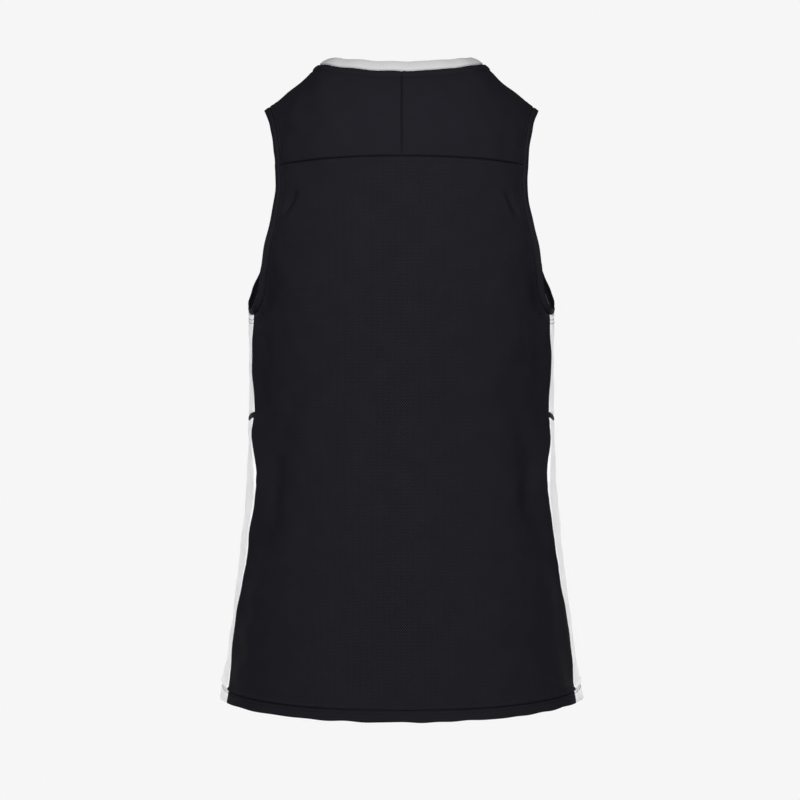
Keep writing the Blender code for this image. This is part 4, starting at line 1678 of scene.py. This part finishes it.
class JERSEY_OT_stage(bpy.types.Operator):
    """Set up the camera, the soft lights, the pale floor and the backdrop"""

    bl_idname = "jersey.stage"
    bl_label = "Stage"

    def execute(self, context):
        scene = context.scene
        scene.view_settings.view_transform = "Standard"
        self.add_camera(context)
        self.add_world(scene)
        self.add_backdrop(context)
        self.add_floor(context)
        for light in LIGHTS:
            data = bpy.data.lights.new(light.name, "AREA")
            data.shape = "RECTANGLE"
            data.size = light.width
            data.size_y = light.height
            data.energy = light.power
            lamp = add_object(context, light.name, data)
            lamp.location = light.place
            aim = Vector(light.target) - Vector(light.place)
            lamp.rotation_euler = aim.to_track_quat("-Z", "Y").to_euler()
            lamp.visible_camera = False
        return {"FINISHED"}

    def add_camera(self, context):
        data = bpy.data.cameras.new("camera")
        data.lens = LENS
        data.sensor_width = SENSOR
        camera = add_object(context, "camera", data)
        camera.location = (PHOTO_X, PHOTO_DISTANCE, PHOTO_HEIGHT)
        camera.rotation_euler = (math.pi / 2, 0, math.pi)
        context.scene.camera = camera

    def add_world(self, scene):
        world = bpy.data.worlds.new("studio")
        world.use_nodes = True
        background = world.node_tree.nodes["Background"]
        background.inputs["Color"].default_value = (1, 1, 1, 1)
        background.inputs["Strength"].default_value = AMBIENT
        scene.world = world

    def add_backdrop(self, context):
        """A pale shell round the studio that is seen but sheds no light."""
        material = bpy.data.materials.new("backdrop")
        graph = Graph(material)
        grey = (BACKDROP_GREY, BACKDROP_GREY, BACKDROP_GREY, 1)
        values = {"Emission Color": grey, "Emission Strength": 1.0, "Base Color": (0, 0, 0, 1)}
        graph.feed(graph.shader, {**values, "Specular IOR Level": 0.0})
        mesh = bpy.data.meshes.new("backdrop")
        ring_points = []
        for i in range(BACKDROP_RINGS + 1):
            tilt = math.pi * i / BACKDROP_RINGS
            for k in range(BACKDROP_CORNERS):
                turn = math.tau * k / BACKDROP_CORNERS
                flat = BACKDROP_RADIUS * math.sin(tilt)
                height = BACKDROP_RADIUS * math.cos(tilt)
                ring_points.append((flat * math.cos(turn), flat * math.sin(turn), height))
        at = np.arange(len(ring_points)).reshape(-1, BACKDROP_CORNERS)
        mesh.from_pydata(ring_points, [], tube_faces(at).tolist())
        mesh.materials.append(material)
        shell = add_object(context, "backdrop", mesh)
        shell.visible_diffuse = False
        shell.visible_glossy = False
        shell.visible_transmission = False
        shell.visible_shadow = False

    def add_floor(self, context):
        """A pale round floor whose edge fades into the backdrop."""
        material = bpy.data.materials.new("floor")
        graph = Graph(material)
        place = graph.node("ShaderNodeTexCoord", {}, {}, output="Object")
        distance = graph.node("ShaderNodeVectorMath", {"operation": "LENGTH"}, {0: place}, output=1)
        shown = 1 - distance.step(FLOOR_FADE_START, FLOOR_FADE_END)
        pale = {"Base Color": FLOOR_GREY, "Roughness": 0.9, "Specular IOR Level": 0.0}
        graph.feed(graph.shader, {**pale, "Alpha": shown})
        mesh = bpy.data.meshes.new("floor")
        turns = [math.tau * k / FLOOR_CORNERS for k in range(FLOOR_CORNERS)]
        edge = [(FLOOR_RADIUS * math.cos(t), FLOOR_RADIUS * math.sin(t), 0) for t in turns]
        mesh.from_pydata(edge, [], [list(range(FLOOR_CORNERS))])
        mesh.materials.append(material)
        floor = add_object(context, "floor", mesh)
        floor.location.z = FLOOR_HEIGHT


class JERSEY_PT_panel(bpy.types.Panel):
    bl_idname = "JERSEY_PT_panel"
    bl_label = "Sleeveless jersey"
    bl_space_type = "VIEW_3D"
    bl_region_type = "UI"
    bl_category = "Jersey"

    def draw(self, context):
        layout = self.layout
        for group in (context.scene.jersey_sizes, context.scene.jersey_colours):
            box = layout.box()
            for name in group.__annotations__:
                box.prop(group, name)
        for operator in OPERATORS:
            layout.operator(operator.bl_idname)


OPERATORS = (
    JERSEY_OT_stage,
    JERSEY_OT_yokes,
    JERSEY_OT_back,
    JERSEY_OT_front,
    JERSEY_OT_sides,
    JERSEY_OT_neck_band,
    JERSEY_OT_armhole_bands,
    JERSEY_OT_stitching,
)
CLASSES = (JerseySizes, JerseyColours, *OPERATORS, JERSEY_PT_panel)


def register():
    for each in CLASSES:
        bpy.utils.register_class(each)
    bpy.types.Scene.jersey_sizes = bpy.props.PointerProperty(type=JerseySizes)
    bpy.types.Scene.jersey_colours = bpy.props.PointerProperty(type=JerseyColours)


def unregister():
    del bpy.types.Scene.jersey_colours
    del bpy.types.Scene.jersey_sizes
    for each in reversed(CLASSES):
        bpy.utils.unregister_class(each)


def main():
    register()
    bpy.ops.jersey.stage()
    bpy.ops.jersey.yokes()
    bpy.ops.jersey.back()
    bpy.ops.jersey.front()
    bpy.ops.jersey.sides()
    bpy.ops.jersey.neck_band()
    bpy.ops.jersey.armhole_bands()
    bpy.ops.jersey.stitching()


if __name__ == "__main__":
    main()
